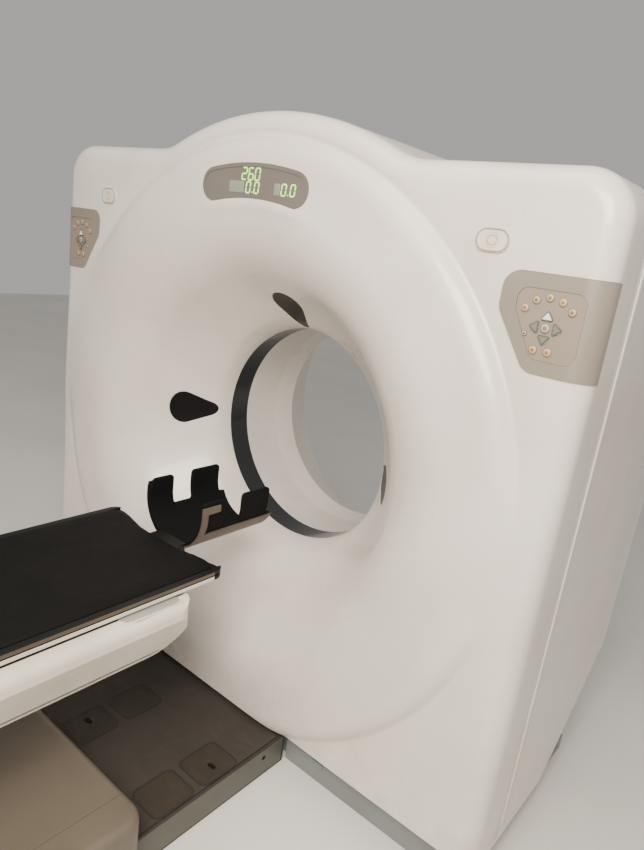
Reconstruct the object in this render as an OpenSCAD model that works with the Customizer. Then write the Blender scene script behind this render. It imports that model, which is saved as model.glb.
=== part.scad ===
// CT scanner: a tilting gantry with a round aperture, its floor plinth,
// a patient table with lift, sliding cradle and head holder, and a foot plate between the two.
// X to the right, Y from the table through the aperture, Z up.
// The origin is on the floor, straight below the isocentre.

/* [Gantry] */
// Inner radius of the patient aperture
aperture_r = 325; // [300:1:350]
// Height of the isocentre above the floor
iso_h = 838; // [830:1:900]
// Half width of the gantry covers
half_w = 880; // [875:1:920]
// Height of the flat shoulders above the isocentre
shoulder_rise = 771; // [765:1:790]
// Radius of the arch that rises between the shoulders
arch_r = 868; // [855:1:875]
// Radius wanted for the hollow blend from arch to shoulder; the nearest one with exact tangents is built
arch_blend_r = 200; // [120:20:280]
// Corner radius of the shoulders in the front view
corner_r = 100; // [98:1:110]
// Distance from the scan plane forward to the shoulder face
front_depth = 335; // [325:1:350]
// Distance from the scan plane back to the rear face
rear_depth = 487; // [470:1:520]
// Rounding of the front edges
edge_r = 48; // [30:1:48]
// Rounding of the rear edges
rear_edge_r = 24; // [15:1:30]
// Wall of the moulded covers
wall = 5; // [3:0.5:7]
// Gap along the seams between neighbouring covers
seam = 0.8; // [0.4:0.1:0.9]

/* [Front disc and bell mouth] */
// Outer radius of the raised disc round the aperture
disc_r = 803; // [790:1:815]
// Rise of the disc above the shoulder face
disc_rise = 25; // [10:1:30]
// Rounding of the disc's rim
rim_r = 40; // [25:1:50]
// Radius of the bell mouth where it meets the aperture
throat_r = 140; // [110:5:160]
// Angle of the bell mouth's cone to the aperture axis
cone_deg = 38; // [34:1:42]
// Radius that blends the cone into the flat of the disc
flare_r = 240; // [200:5:260]
// Half length of the dark scan window ring
window_half = 38; // [30:1:45]
// End of the white bore liner behind the scan plane
liner_end = 178; // [160:1:200]
// Start of the rear flare behind the scan plane
rear_flare_y = 272; // [255:1:290]
// Half angle of the rear flare
rear_flare_deg = 30; // [24:1:34]

/* [Tilt clearance] */
// Largest swing radius of the covers' lower edges about the tilt axis
swing_r = 815; // [800:1:818]
// Height of the covers' lower edge
bottom_z = 58; // [50:1:70]
// Start of the sloping rear underside behind the scan plane
slope_y = 110; // [90:1:140]
// Slope of the rear underside
slope_deg = 39.4; // [36:0.2:42]
// Rear edge of the front cover's flange, in front of the scan plane
flange_y = 170; // [150:1:200]
// Rounding of the flange's lower rear corner
flange_corner_r = 40; // [20:1:60]
// Width of the rear cover's rim behind the side covers
rear_rim = 35; // [28:1:50]
// Distance from the shoulders' corners down to the seam below the top cover
top_cover_drop = 6; // [2:1:40]

/* [Rotor] */
// Outer radius of the rotating drum
drum_r = 700; // [680:1:705]
// Bore radius of the rotating drum
drum_bore_r = 350; // [345:1:355]
// Front face of the drum plate behind the scan plane
drum_y = 60; // [55:1:70]
// Thickness of the drum plate
drum_t = 20; // [14:1:26]
// Distance from the isocentre to the focal spot
focus_r = 541; // [530:1:555]
// Distance from the focal spot to the detector face
detector_r = 949; // [930:1:960]
// Half angle of the detector arc
detector_deg = 27; // [24:1:29]
// Radius of the drum bearing's running gap
bearing_r = 392; // [388:1:396]
// Radial play of running fits
fit = 0.3; // [0.3:0.05:0.5]
// Pitch radius of the drive motor's pulley
pulley_r = 52; // [45:1:60]
// Drive motor axis to the left of the isocentre
drive_x = 620; // [600:1:640]
// Drive motor axis below the isocentre
drive_drop = 480; // [470:1:500]

/* [Tilt drive] */
// Tooth module of the tilt gears
gear_m = 6; // [5:0.5:7]
// Teeth on the full circle of the tilt sector
sector_teeth = 90; // [84:2:96]
// Teeth on the tilt pinion
pinion_teeth = 15; // [13:2:17]
// Radius of the trunnion pins
trunnion_r = 40; // [35:1:45]
// Inner face of the trunnion towers, from the middle plane
tower_x = 792; // [788:1:796]
// Thickness of the trunnion towers
tower_t = 56; // [45:1:60]

/* [Floor parts] */
// Thickness of the gantry's base plate
base_t = 16; // [12:1:18]
// Radius of the floor anchor holes
anchor_r = 9; // [7:0.5:11]
// Spacing of the gantry's anchor holes across
anchor_w = 1400; // [1350:10:1450]
// Spacing of the gantry's anchor holes from front to rear
anchor_l = 440; // [400:10:480]
// Height of the grey plinth strip
plinth_h = 66; // [50:1:68]
// Front face of the plinth strip, in front of the scan plane
plinth_y = 305; // [300:1:310]
// Height of the foot plate
plate_h = 95; // [80:1:96]
// Half width of the foot plate
plate_w = 302; // [300:1:320]
// Thickness of the foot plate's skin
plate_skin = 6; // [4:1:8]
// Side length of a hatch across the table
hatch_w = 100; // [90:1:102]
// Side length of a hatch along the table
hatch_l = 118; // [110:1:122]
// Dark gap round each hatch
hatch_gap = 3; // [2:0.5:4]
// Front face of the table base, in front of the scan plane
base_front = 815; // [800:1:830]
// Half width of the table base
base_w = 350; // [340:1:370]
// Height of the table base
base_h = 200; // [190:1:210]
// Length of the table base
base_l = 1500; // [1400:10:1600]

/* [Table top] */
// Height of the cradle's rim at rest
cradle_z = 640; // [630:1:650]
// Half width of the cradle
cradle_w = 220; // [215:1:222]
// Height of the cradle's side rims
rim_h = 22; // [18:1:26]
// Thickness of the cradle board
board_t = 10; // [8:1:12]
// Depth of the board's curve below its edges
board_dip = 12; // [8:1:14]
// Front end of the cradle, in front of the scan plane
cradle_front = 537; // [525:1:560]
// Length of the cradle
cradle_l = 2300; // [2200:10:2400]
// Half width of the table housing
housing_w = 256; // [250:1:262]
// Height of the table housing
housing_h = 132; // [125:1:140]
// Gap between the housing's top edge and the cradle's rim
housing_gap = 5; // [4:0.5:8]
// Front end of the table housing, in front of the scan plane
housing_front = 655; // [650:1:680]
// Length of the table housing
housing_l = 2230; // [2150:10:2300]
// Lowest travel of the table
lift_down = 200; // [150:5:200]
// Highest travel of the table
lift_up = 100; // [60:5:100]
// Centre of the lift column behind the base's front face
column_y = 800; // [700:10:900]

/* [Head holder] */
// Outer radius of the head holder's trough
trough_r = 112; // [105:1:116]
// Height of the trough's axis above the cradle's rim
trough_rise = 75; // [70:1:80]
// Length of the trough
trough_l = 262; // [240:1:280]
// Height of the ears above the trough's axis
ear_rise = 40; // [30:1:50]
// Thickness of the trough's shell
trough_t = 5; // [4:0.5:6]
// Thickness of the dark lining
lining_t = 10; // [8:1:12]

/* [Controls] */
// Inner radius of the display's curved plate
display_r0 = 655; // [650:1:660]
// Outer radius of the display's curved plate
display_r1 = 737; // [730:1:742]
// Half angle that the display spans
display_deg = 15; // [13:0.5:17]
// Distance of the keypads' centre from the middle plane
key_x = 780; // [775:1:785]
// Height of the keypads' centre above the isocentre
key_rise = 478; // [470:1:485]
// Spacing of the four arrow keys round the middle key
key_pitch = 21.5; // [20:0.5:23]
// Distance of the emergency stops from the middle plane
estop_x = 640; // [625:1:650]
// Height of the emergency stops above the isocentre
estop_rise = 623; // [615:1:630]
// Radius of the emergency stop's pressing cap
estop_r = 14; // [12:0.5:15]
// Stroke of the emergency stops
estop_stroke = 4; // [3:0.5:5]

/* [Hidden] */
$fn = 96;

// Colours
white = [0.87, 0.84, 0.80];
panel_grey = [0.62, 0.58, 0.53];
steel = [0.55, 0.57, 0.60];
dark = [0.10, 0.10, 0.11];
floor_grey = [0.33, 0.32, 0.30];
strip_grey = [0.52, 0.56, 0.57];

// Derived places
touch = 0.2;
top_z = iso_h + shoulder_rise;
top_seam_z = top_z - corner_r - top_cover_drop;
rear_seam_y = rear_depth - rear_rim;
disc_front = front_depth + disc_rise;
throat_c = [aperture_r + throat_r, -window_half];
cone_t1 = [throat_c[0] - throat_r * cos(cone_deg), throat_c[1] - throat_r * sin(cone_deg)];
cone_end_r = cone_t1[0] + tan(cone_deg) * (disc_front + cone_t1[1]);
flare_c = [cone_end_r + flare_r * tan((90 - cone_deg) / 2), flare_r - disc_front];
arch_h = arch_r - shoulder_rise;
blend_k = round(5 * sqrt((arch_r + shoulder_rise + 2 * arch_blend_r) / arch_h)) / 5;
blend_dx = arch_h * blend_k;
blend_dz = arch_h * (blend_k * blend_k - 1) / 2;
blend_r = blend_dz - shoulder_rise;
blend_deg = atan2(blend_dx, blend_dz);
drum_back = drum_y + drum_t;
frame_y = 215;
frame_t = 25;
belt_y = [drum_back + 10, drum_back + 45];
sector_r = gear_m * sector_teeth / 2;
pinion_r = gear_m * pinion_teeth / 2;
gear_drop = sector_r + pinion_r;
arm_x = [tower_x - 46, tower_x - 16];
gear_x = [arm_x[1] + touch, tower_x - 3];
hub_r = trunnion_r + 45;
column_c = -(base_front + column_y);
housing_top = cradle_z - rim_h - housing_gap;
housing_z = housing_top - housing_h;
housing_t = 5;
roller_r = 20;
roller_z = cradle_z - rim_h - fit - roller_r;
board_edge_z = cradle_z - rim_h + 4;
hatch_x = [plate_w - 58, -68];
hatch_y = [-552, -694];
holder_y0 = -(cradle_front - 12);
trough_z = cradle_z + trough_rise;

// Extrusions along the axes: outlines are (y, z) along X and (x, z) along Y
module along_x(x0, x1) translate([x0, 0, 0]) rotate([90, 0, 90]) linear_extrude(x1 - x0) children();
module along_y(y0, y1) translate([0, y1, 0]) rotate([90, 0, 0]) linear_extrude(y1 - y0) children();
module about_y(x = 0, z = iso_h) translate([x, 0, z]) rotate([-90, 0, 0]) rotate_extrude() children();
module about_y_part(x, z, from, sweep)
    translate([x, 0, z]) rotate([-90, 0, 0]) rotate([0, 0, from]) rotate_extrude(angle = sweep) children();
module both_sides() { children(); mirror([1, 0, 0]) children(); }
module left_of(side) mirror([side < 0 ? 1 : 0, 0, 0]) children();
module tube_y(r1, r0, y0, y1, x = 0, z = iso_h)
    about_y(x, z) translate([r0, y0]) square([r1 - r0, y1 - y0]);
module rod_x(r, x0, x1, y = 0, z = iso_h) translate([x0, y, z]) rotate([0, 90, 0]) cylinder(r = r, h = x1 - x0);
module rod_y(r, y0, y1, x = 0, z = iso_h) translate([x, y1, z]) rotate([90, 0, 0]) cylinder(r = r, h = y1 - y0);
module box(x0, x1, y0, y1, z0, z1) translate([x0, y0, z0]) cube([x1 - x0, y1 - y0, z1 - z0]);
module round_rect(w, h, r) {
    square([w - 2 * r, h], center = true);
    square([w, h - 2 * r], center = true);
    for (sx = [-1, 1], sy = [-1, 1]) translate([sx * (w / 2 - r), sy * (h / 2 - r)]) circle(r);
}

// A quarter disc in the corner that lies toward sx, sy from its centre
module quarter(r, sx, sy) intersection() {
    circle(r);
    translate([min(0, sx * r), min(0, sy * r)]) square([r, r]);
}

// A strip from inner to w, between y0 and y1, with its two outer corners rounded
module slab2d(w, y0, y1, r0, r1, inner = 0) {
    translate([inner, y0 + r0]) square([w - inner, y1 - y0 - r0 - r1]);
    translate([inner, y0]) square([w - r0 - inner, r0]);
    translate([w - r0, y0 + r0]) quarter(r0, 1, -1);
    if (r1 > 0) {
        translate([inner, y1 - r1]) square([w - r1 - inner, r1]);
        translate([w - r1, y1 - r1]) quarter(r1, 1, 1);
    }
}

// The gantry's outer form, moved inward by t all round, without its underside trimming:
// two flanks with rounded shoulders, and between them an arch that runs into them in a hollow blend
module gantry_solid(t = 0) {
    y0 = -front_depth + t;
    y1 = rear_depth - t;
    r0 = edge_r - t;
    r1 = rear_edge_r - t;
    mid_w = half_w - corner_r;
    both_sides() {
        along_x(blend_dx, mid_w) mirror([1, -1]) slab2d(top_z - t, y0, y1, r0, r1, -10);
        side_block(t, -10);
        about_y_part(mid_w, top_z - corner_r, -90, 90) slab2d(corner_r - t, y0, y1, r0, r1);
        arch_web(t, y0, y1, r0, r1);
    }
    box(-blend_dx, blend_dx, y0, y1, -10, iso_h);
    intersection() {
        about_y() slab2d(arch_r - t, y0, y1, r0, r1);
        along_y(y0 - 1, y1 + 1)
            polygon([[0, iso_h], [blend_dx, iso_h + blend_dz], [-blend_dx, iso_h + blend_dz]]);
    }
}

// The upright flank outside the slab, with the front and rear edges rounded
module side_block(t, z0) translate([0, 0, z0]) linear_extrude(top_z - corner_r - z0)
    slab2d(half_w - t, -front_depth + t, rear_depth - t, edge_r - t, rear_edge_r - t, half_w - corner_r);

// The hollow blend between the arch and one shoulder, with edges rounded like the rest
module arch_web(t, y0, y1, r0, r1) {
    c = [blend_dx, iso_h + blend_dz];
    r = blend_r + t;
    difference() {
        along_y(y0, y1) polygon([c, [0, iso_h], [blend_dx, iso_h]]);
        about_y(c[0], c[1]) {
            translate([0, y0 - 1]) square([r, y1 - y0 + 2]);
            difference() {
                translate([r, y0 - 1]) square([r0, r0 + 1]);
                translate([r + r0, y0 + r0]) circle(r0);
            }
            difference() {
                translate([r, y1 - r1]) square([r1, r1 + 1]);
                translate([r + r1, y1 - r1]) circle(r1);
            }
        }
    }
}

// The raised disc on the front, moved inward by t
module disc_solid(t = 0) about_y() slab2d(disc_r - t, -disc_front + t, 20 - front_depth, rim_r - t, 0);

function arc(c, r, from, to, n) =
    [for (i = [0 : n]) let (a = from + (to - from) * i / n) c + r * [cos(a), sin(a)]];

// The material side of the bell mouth in section (radius, y), moved inward by t: throat, cone and flare
module bell_section(t = 0) polygon(concat(
    arc(throat_c, throat_r - t, 180, 180 + cone_deg, 8),
    arc(flare_c, flare_r - t, 180 + cone_deg, 270, 12),
    [[flare_c[0], 60], [aperture_r + t, 60]]));

// The empty space inside the bell mouth, widened by t
module bell_void(t = 0) about_y() difference() {
    translate([0, -disc_front - 20]) square([flare_c[0], disc_front + 20 + throat_c[1] + 1]);
    bell_section(t);
}

// The empty space of the bore and the rear flare, widened by t
module rear_void(t = 0) {
    rod_y(aperture_r + t, liner_end - 1, rear_depth + 10);
    about_y() polygon([[0, rear_flare_y], [aperture_r + t, rear_flare_y],
        [aperture_r + t + tan(rear_flare_deg) * (rear_depth + 10 - rear_flare_y), rear_depth + 10],
        [0, rear_depth + 10]]);
}

// What stays of the covers in side view (y, z), so that their lower edges clear the floor in every tilt
module underside_trim() along_x(-half_w - 20, half_w + 20) difference() {
    union() {
        translate([-600, iso_h / 2]) square([1200, top_z]);
        intersection() {
            translate([0, iso_h]) circle(swing_r);
            translate([-600, bottom_z]) square([1200, iso_h]);
        }
    }
    polygon([[slope_y, 0], [slope_y, bottom_z],
        [slope_y + 600, bottom_z + 600 * tan(slope_deg)], [slope_y + 600, 0]]);
}

// The part of space that the front cover fills in side view: a flange with a rounded lower corner
module flange_zone(gap = 0) along_x(-half_w - 20, half_w + 20) {
    translate([-600, bottom_z + flange_corner_r]) square([600 - flange_y + gap, top_z + 300]);
    translate([-600, 0]) square([600 - flange_y - flange_corner_r, top_z]);
    translate([-flange_y - flange_corner_r, bottom_z + flange_corner_r]) circle(flange_corner_r + gap);
}

module display_outline(grow = 0) {
    mid_r = (display_r0 + display_r1) / 2;
    end_r = (display_r1 - display_r0) / 2;
    span = display_deg - asin(end_r / mid_r);
    translate([0, iso_h]) {
        intersection() {
            difference() { circle(display_r1 + grow); circle(display_r0 - grow); }
            polygon([[0, 0], 2000 * [-sin(span), cos(span)], 2000 * [sin(span), cos(span)]]);
        }
        for (a = [-span, span]) translate(mid_r * [sin(a), cos(a)]) circle(end_r + grow);
    }
}

// The shield shape of a control panel, wide at the top and open to the gantry's side
module panel_outline(grow = 0) translate([key_x, iso_h + key_rise]) {
    r = 34 + grow;
    lean = atan2(58, 88);
    polygon(concat(arc([-66, 64], r, 90, 180, 8), arc([-66, 34], r, 180, 180 + lean, 3),
        arc([-8, -54], r, 180 + lean, 270, 5), [[134, -54 - r], [134, 64 + r]]));
}

module estop_outline(grow = 0) for (s = [-1, 1]) {
    translate([estop_x + s * 13, iso_h + estop_rise]) circle(22.5 + grow);
    translate([estop_x, iso_h + estop_rise]) square([26, 45 + 2 * grow], center = true);
}

// A drop-shaped window outline that points to the aperture, wide end outward
module drop_outline(grow = 0) {
    x = [aperture_r + 28, aperture_r + 150];
    r = [14 + grow, 28 + grow];
    polygon([[x[0], -r[0]], [x[1], -r[1]], [x[1], r[1]], [x[0], r[0]]]);
    for (i = [0, 1]) translate([x[i], 0]) intersection() {
        circle(r[i]);
        translate([(i - 1) * r[i], -r[i]]) square([r[i], 2 * r[i]]);
    }
}
module laser_places(grow = 0) for (a = laser_turns)
    along_y(-disc_front - 10, -window_half - 20) translate([0, iso_h]) rotate(a) drop_outline(grow);
laser_turns = [0, 90, 180];

module front_cover() color(white) difference() {
    intersection() {
        union() { gantry_solid(); disc_solid(); }
        union() {
            flange_zone();
            rod_y(flare_c[0], -disc_front - 1, -window_half);
        }
        underside_trim();
    }
    difference() {
        union() { gantry_solid(wall); disc_solid(wall); }
        bell_void(wall);
    }
    bell_void();
    along_y(-disc_front - 5, -front_depth) display_outline(fit);
    laser_places(fit);
    both_sides() {
        along_y(-front_depth - 10, panel_back + fit) panel_outline(fit);
        along_y(-front_depth - 10, 0) estop_outline(fit);
    }
}
panel_back = -front_depth + edge_r - 4;

module side_cover(side) color(white) left_of(side) intersection() {
    difference() {
        side_block(0, 0);
        side_block(wall, -1);
    }
    underside_trim();
    difference() {
        box(half_w - corner_r, half_w + 1, -front_depth, rear_seam_y, 0, top_seam_z - seam);
        flange_zone(seam);
    }
}
module side_cover_left() side_cover(-1);
module side_cover_right() side_cover(1);

module top_cover() color(white) {
    intersection() {
        difference() {
            gantry_solid();
            gantry_solid(wall);
        }
        box(-half_w - 1, half_w + 1, seam - flange_y, rear_seam_y, top_seam_z, iso_h + arch_r + 10);
    }
    for (a = [-blend_deg, 0, blend_deg]) rotate_about_iso(a)
        box(-rib_t / 2, rib_t / 2, 12 - flange_y, rear_seam_y - 12, iso_h + arch_r - wall - 14, iso_h + arch_r - 1);
}
rib_t = 4;

module rear_cover() color(white) difference() {
    intersection() {
        gantry_solid();
        union() {
            box(-half_w - 1, half_w + 1, rear_seam_y + seam, rear_depth + 1, 0, iso_h + arch_r + 10);
            rod_y(aperture_r + 200, liner_end + seam, rear_depth + 1);
        }
        underside_trim();
    }
    difference() {
        gantry_solid(wall);
        rear_void(wall);
    }
    rear_void();
    for (row = [0 : 6], s = [-1, 1])
        box(s * 480 - 90, s * 480 + 90, rear_depth - wall - 1, rear_depth + 1,
            iso_h + 560 + row * 16, iso_h + 567 + row * 16);
}

module scan_window() color(dark) tube_y(aperture_r + wall, aperture_r, seam - window_half, window_half);
module bore_liner() color(white) {
    tube_y(aperture_r + wall, aperture_r, window_half + seam, liner_end);
    tube_y(aperture_r + wall + 9, aperture_r + wall, window_half + 30, window_half + 36);
}

module laser_windows() color(dark) for (a = laser_turns) rotate_about_iso(-a) intersection() {
    about_y() intersection() {
        difference() { bell_section(2.5); bell_section(6.5); }
        translate([0, -disc_front]) square([flare_c[0], disc_front - window_half - 20]);
    }
    along_y(-disc_front - 10, -window_half - 20) translate([0, iso_h]) drop_outline();
}

module display_plate() color(panel_grey) difference() {
    along_y(-disc_front - 2, -disc_front + wall + 4) display_outline();
    along_y(-disc_front - 3, -disc_front - 0.5) display_outline(-9);
}

module control_panel(side) color(panel_grey) left_of(side) difference() {
    intersection() {
        gantry_solid(-3);
        along_y(-front_depth - 5, panel_back) panel_outline();
    }
    gantry_solid(wall);
    along_y(-front_depth - 4, -front_depth) panel_recess();
}
module panel_recess(grow = 0) translate([key_x, iso_h + key_rise]) {
    r = 22 + grow;
    k = r * [-0.89, -0.456];
    for (p = [[-44, 48], [-44, 34], [-6, -40], [44, 48], [44, -40]]) translate(p) circle(r);
    polygon([[-44, 48 + r], [-44, 48], [-44 - r, 48], [-44 - r, 34], [-44, 34], [-44, 34] + k, [-6, -40] + k,
        [-6, -40], [-6, -40 - r], [44, -40 - r], [44, -40], [44 + r, -40], [44 + r, 48], [44, 48], [44, 48 + r]]);
}
module control_panel_left() control_panel(-1);
module control_panel_right() control_panel(1);

// A moulded key mat with five keys on an arc, a cross of arrows, and three more below
module keypad(side) color([0.75, 0.71, 0.65]) left_of(side) {
    y_face = -front_depth - 1.5;
    along_y(y_face, -front_depth - touch) panel_recess(-0.5);
    translate([key_x, 0, iso_h + key_rise]) {
        for (a = [40 : 26.5 : 147]) rod_y(8, y_face - 2, y_face + 0.1, 56 * cos(a), 56 * sin(a));
        for (a = [0 : 90 : 270]) rod_y(9, y_face - 2, y_face + 0.1, key_pitch * cos(a), key_pitch * sin(a));
        rod_y(9, y_face - 2.5, y_face + 0.1, 0, 0);
        rod_y(4.5, y_face - 1.5, y_face + 0.1, -38, -16);
        for (x = [-15, 13]) rod_y(8, y_face - 2, y_face + 0.1, x, -43);
    }
}
module keypad_left() keypad(-1);
module keypad_right() keypad(1);

module estop_plate(side) color(white) left_of(side) difference() {
    along_y(-front_depth - 3, -front_depth + wall + 12) estop_outline();
    rod_y(estop_r + 0.5, -front_depth - 4, -front_depth + wall + 6, estop_x, iso_h + estop_rise);
    rod_y(6 + fit, -front_depth - 4, -front_depth + wall + 13, estop_x, iso_h + estop_rise);
}
module estop_plate_left() estop_plate(-1);
module estop_plate_right() estop_plate(1);

module estop_button(side) color([0.8, 0.75, 0.7]) left_of(side) {
    rod_y(estop_r, -front_depth - 3, -front_depth - 3 + wall + 4 - touch, estop_x, iso_h + estop_rise);
    rod_y(6, -front_depth + 5, -front_depth + wall + 20, estop_x, iso_h + estop_rise);
}
module estop_button_left() estop_button(-1);
module estop_button_right() estop_button(1);

// Tilting steel frame: a ring behind the rotor, arms to the trunnions, an ear for the drum motor
module frame_ring2d() difference() {
    union() {
        circle(drum_r + 20);
        translate([-drive_x, -drive_drop]) circle(95);
        polygon([[-drive_x - 60, -drive_drop + 72], [-drive_x + 60, -drive_drop - 72], [-300, -560], [-600, -260]]);
    }
    circle(bearing_r + 33);
    for (a = [15 : 30 : 345]) rotate(a) translate([575, 0]) circle(75);
    translate([-drive_x, -drive_drop]) circle(24);
}
module tilt_frame() color(steel) {
    along_y(frame_y, frame_y + frame_t) translate([0, iso_h]) frame_ring2d();
    tube_y(bearing_r + 60, bearing_r + 33 + touch, frame_y - 65, frame_y + frame_t);
    both_sides() difference() {
        union() {
            box(arm_x[0], arm_x[1], -80, frame_y + frame_t, iso_h - 110, iso_h + 110);
            box(drum_r - 90, arm_x[0] + 1, frame_y, frame_y + frame_t, iso_h - 110, iso_h + 110);
        }
        rod_x(trunnion_r + touch / 2, arm_x[0] - 1, arm_x[1] + 1);
    }
    both_sides() for (z = [-160, 330])
        box(560, half_w - wall - touch, frame_y + frame_t, frame_y + frame_t + 12, iso_h + z - 20, iso_h + z + 20);
    for (s = [-1, 1])
        box(s * 200 - 20, s * 200 + 20, frame_y + frame_t, frame_y + frame_t + 12,
            iso_h + 560, iso_h + sqrt(pow(arch_r - wall, 2) - 220 * 220) - touch);
}

module trunnion_pins() color([0.7, 0.71, 0.73]) both_sides()
    rod_x(trunnion_r, arm_x[0] - 10, tower_x + tower_t - 4);

module gear2d(teeth, m, first, last, turn) {
    pr = teeth * m / 2;
    step = 360 / teeth;
    for (i = [first : last]) rotate(turn + i * step) polygon([
        for (p = [[-1.6, -0.35], [0, -0.2], [0.9, -0.1], [0.9, 0.1], [0, 0.2], [-1.6, 0.35]])
            (pr + p[0] * m) * [cos(p[1] * step), sin(p[1] * step)]]);
}

// Toothed sector fixed to the right arm; it hangs below the trunnion
module tilt_sector() color([0.45, 0.46, 0.48]) along_x(gear_x[0], gear_x[1]) translate([0, iso_h]) {
    gear2d(sector_teeth, gear_m, -10, 10, -90);
    difference() {
        intersection() {
            circle(sector_r - 1.1 * gear_m);
            polygon([[0, 80], [-sector_r * 0.78, -sector_r * 0.9], [0, -sector_r * 1.3], [sector_r * 0.78, -sector_r * 0.9]]);
        }
        circle(trunnion_r + touch);
        for (a = [-22, 22]) rotate(a) translate([0, -sector_r * 0.62]) circle(30);
    }
}
module tilt_pinion() color([0.45, 0.46, 0.48]) {
    along_x(gear_x[0], gear_x[1]) translate([0, iso_h - gear_drop]) {
        gear2d(pinion_teeth, gear_m, 0, pinion_teeth - 1, 90 + 180 / pinion_teeth);
        circle(pinion_r - 1.1 * gear_m);
    }
    rod_x(12, gear_x[0] - 20, gear_x[0] + 1, 0, iso_h - gear_drop);
}
module tilt_motor() color(steel) difference() {
    union() {
        rod_x(38, gear_x[0] - 80, gear_x[0] - 4, 0, iso_h - gear_drop);
        box(gear_x[0] - 70, tower_x - touch, -36, 36, iso_h - gear_drop - pinion_r - 32, iso_h - gear_drop - pinion_r - 12);
        box(gear_x[0] - 70, gear_x[0] - 4, -36, 36, iso_h - gear_drop - pinion_r - 13, iso_h - gear_drop);
    }
    rod_x(12 + fit, gear_x[0] - 25, gear_x[0], 0, iso_h - gear_drop);
}

// A tower leans back under its hub, so that the tilting covers clear it
module tower2d() {
    polygon([[beam_y - touch, base_t], [beam_y - touch, 56], [138, 124], [100, 300], [hub_r, iso_h], [-hub_r, iso_h],
        [-hub_r, 440], [140, base_t + 20], [140, base_t]]);
    translate([0, iso_h]) circle(hub_r);
}
module trunnion_tower(side) color(steel) left_of(side) difference() {
    along_x(tower_x, tower_x + tower_t) tower2d();
    rod_x(trunnion_r + 20 + touch / 2, tower_x - 1, tower_x + tower_t + 1);
    along_x(tower_x + 12, tower_x + tower_t + 1)
        polygon([[70, 310], [50, iso_h - 110], [-hub_r + 22, iso_h - 110], [-hub_r + 22, 450], [130, 110]]);
}
module trunnion_tower_left() trunnion_tower(-1);
module trunnion_tower_right() trunnion_tower(1);
module trunnion_bearings() color([0.7, 0.71, 0.73]) both_sides() difference() {
    rod_x(trunnion_r + 20, tower_x + 4, tower_x + tower_t - 6);
    rod_x(trunnion_r + fit, tower_x, tower_x + tower_t);
}

// Rotor
module rotor_drum() color(steel) difference() {
    union() {
        tube_y(drum_r, drum_bore_r, drum_y, drum_back);
        tube_y(drum_r, drum_r - 14, drum_back, drum_back + 60);
        tube_y(bearing_r - 20, drum_bore_r, drum_back, frame_y + frame_t - 10);
        tube_y(bearing_r - fit, bearing_r - 20, drum_back + 40, frame_y + frame_t - 10);
    }
    for (a = [22.5 : 45 : 360]) rotate_about_iso(a) rod_y(40, drum_y - 1, drum_back + 1, 635, iso_h);
}
module rotate_about_iso(a) translate([0, 0, iso_h]) rotate([0, a, 0]) translate([0, 0, -iso_h]) children();
module drum_bearing_ring() color([0.7, 0.71, 0.73])
    tube_y(bearing_r + 33, bearing_r, drum_back + 74, frame_y + frame_t - 10);
module slip_ring() color([0.72, 0.6, 0.35]) difference() {
    tube_y(580, 470, drum_back + touch, drum_back + 18);
    for (r = [482 : 16 : 562]) tube_y(r + 9, r, drum_back + 15, drum_back + 19);
}
module brush_block() color(dark) {
    box(-45, 45, drum_back + 18.5, frame_y - touch, iso_h + 478, iso_h + 572);
    for (z = [486 : 16 : 566]) box(-30, 30, drum_back + 15.5, drum_back + 19, iso_h + z - 2, iso_h + z + 1);
}
module drum_belt() color(dark) along_y(belt_y[0], belt_y[1]) translate([0, iso_h]) difference() {
    belt2d(4);
    belt2d(fit);
}
// The outline of a band round the drum and the motor pulley, grown outward
module belt2d(grow) {
    d = norm([drive_x, drive_drop]);
    a = atan2(-drive_drop, -drive_x);
    lean = (drum_r - pulley_r) / d;
    rise = sqrt(1 - lean * lean);
    big = drum_r + grow;
    small = pulley_r + grow;
    circle(big);
    rotate(a) translate([d, 0]) circle(small);
    rotate(a) polygon([[0, 0], big * [lean, -rise], [d, 0] + small * [lean, -rise], [d, 0],
        [d, 0] + small * [lean, rise], big * [lean, rise]]);
}
module motor_pulley() color(steel) difference() {
    union() {
        rod_y(pulley_r, belt_y[0], belt_y[1], -drive_x, iso_h - drive_drop);
        rod_y(pulley_r + 7, belt_y[0] - 4, belt_y[0] - 1, -drive_x, iso_h - drive_drop);
        rod_y(pulley_r - 6, belt_y[0] - 2, belt_y[0] + 1, -drive_x, iso_h - drive_drop);
        rod_y(15, belt_y[0], frame_y + 40, -drive_x, iso_h - drive_drop);
    }
    rod_y(6, belt_y[0] - 10, belt_y[0] + 20, -drive_x, iso_h - drive_drop);
}
module drum_motor() color(steel) difference() {
    union() {
        rod_y(75, frame_y + frame_t + touch, frame_y + 170, -drive_x, iso_h - drive_drop);
        rod_y(23, frame_y - 2, frame_y + frame_t + 1, -drive_x, iso_h - drive_drop);
    }
    rod_y(15 + fit, frame_y - 10, frame_y + 45, -drive_x, iso_h - drive_drop);
}
module xray_tube() color([0.8, 0.8, 0.78]) {
    rod_y(88, -130, drum_y - touch, 0, iso_h + focus_r + 30);
    rod_y(60, -165, -129, 0, iso_h + focus_r + 30);
    box(-40, 40, -40, 40, iso_h + focus_r - 66, iso_h + focus_r - 40);
}
module collimator() color(dark) difference() {
    box(-80, 80, -55, drum_y - touch, iso_h + 400, iso_h + focus_r - 66 - touch);
    box(-60, 60, -20, 20, iso_h + 399, iso_h + focus_r);
}
module detector_arc() color([0.35, 0.38, 0.42]) translate([0, 0, iso_h + focus_r]) {
    rotate([-90, 0, 0]) rotate([0, 0, 90 - detector_deg]) rotate_extrude(angle = 2 * detector_deg)
        translate([detector_r, -40]) square([36, 40 + drum_y - touch]);
}
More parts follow.
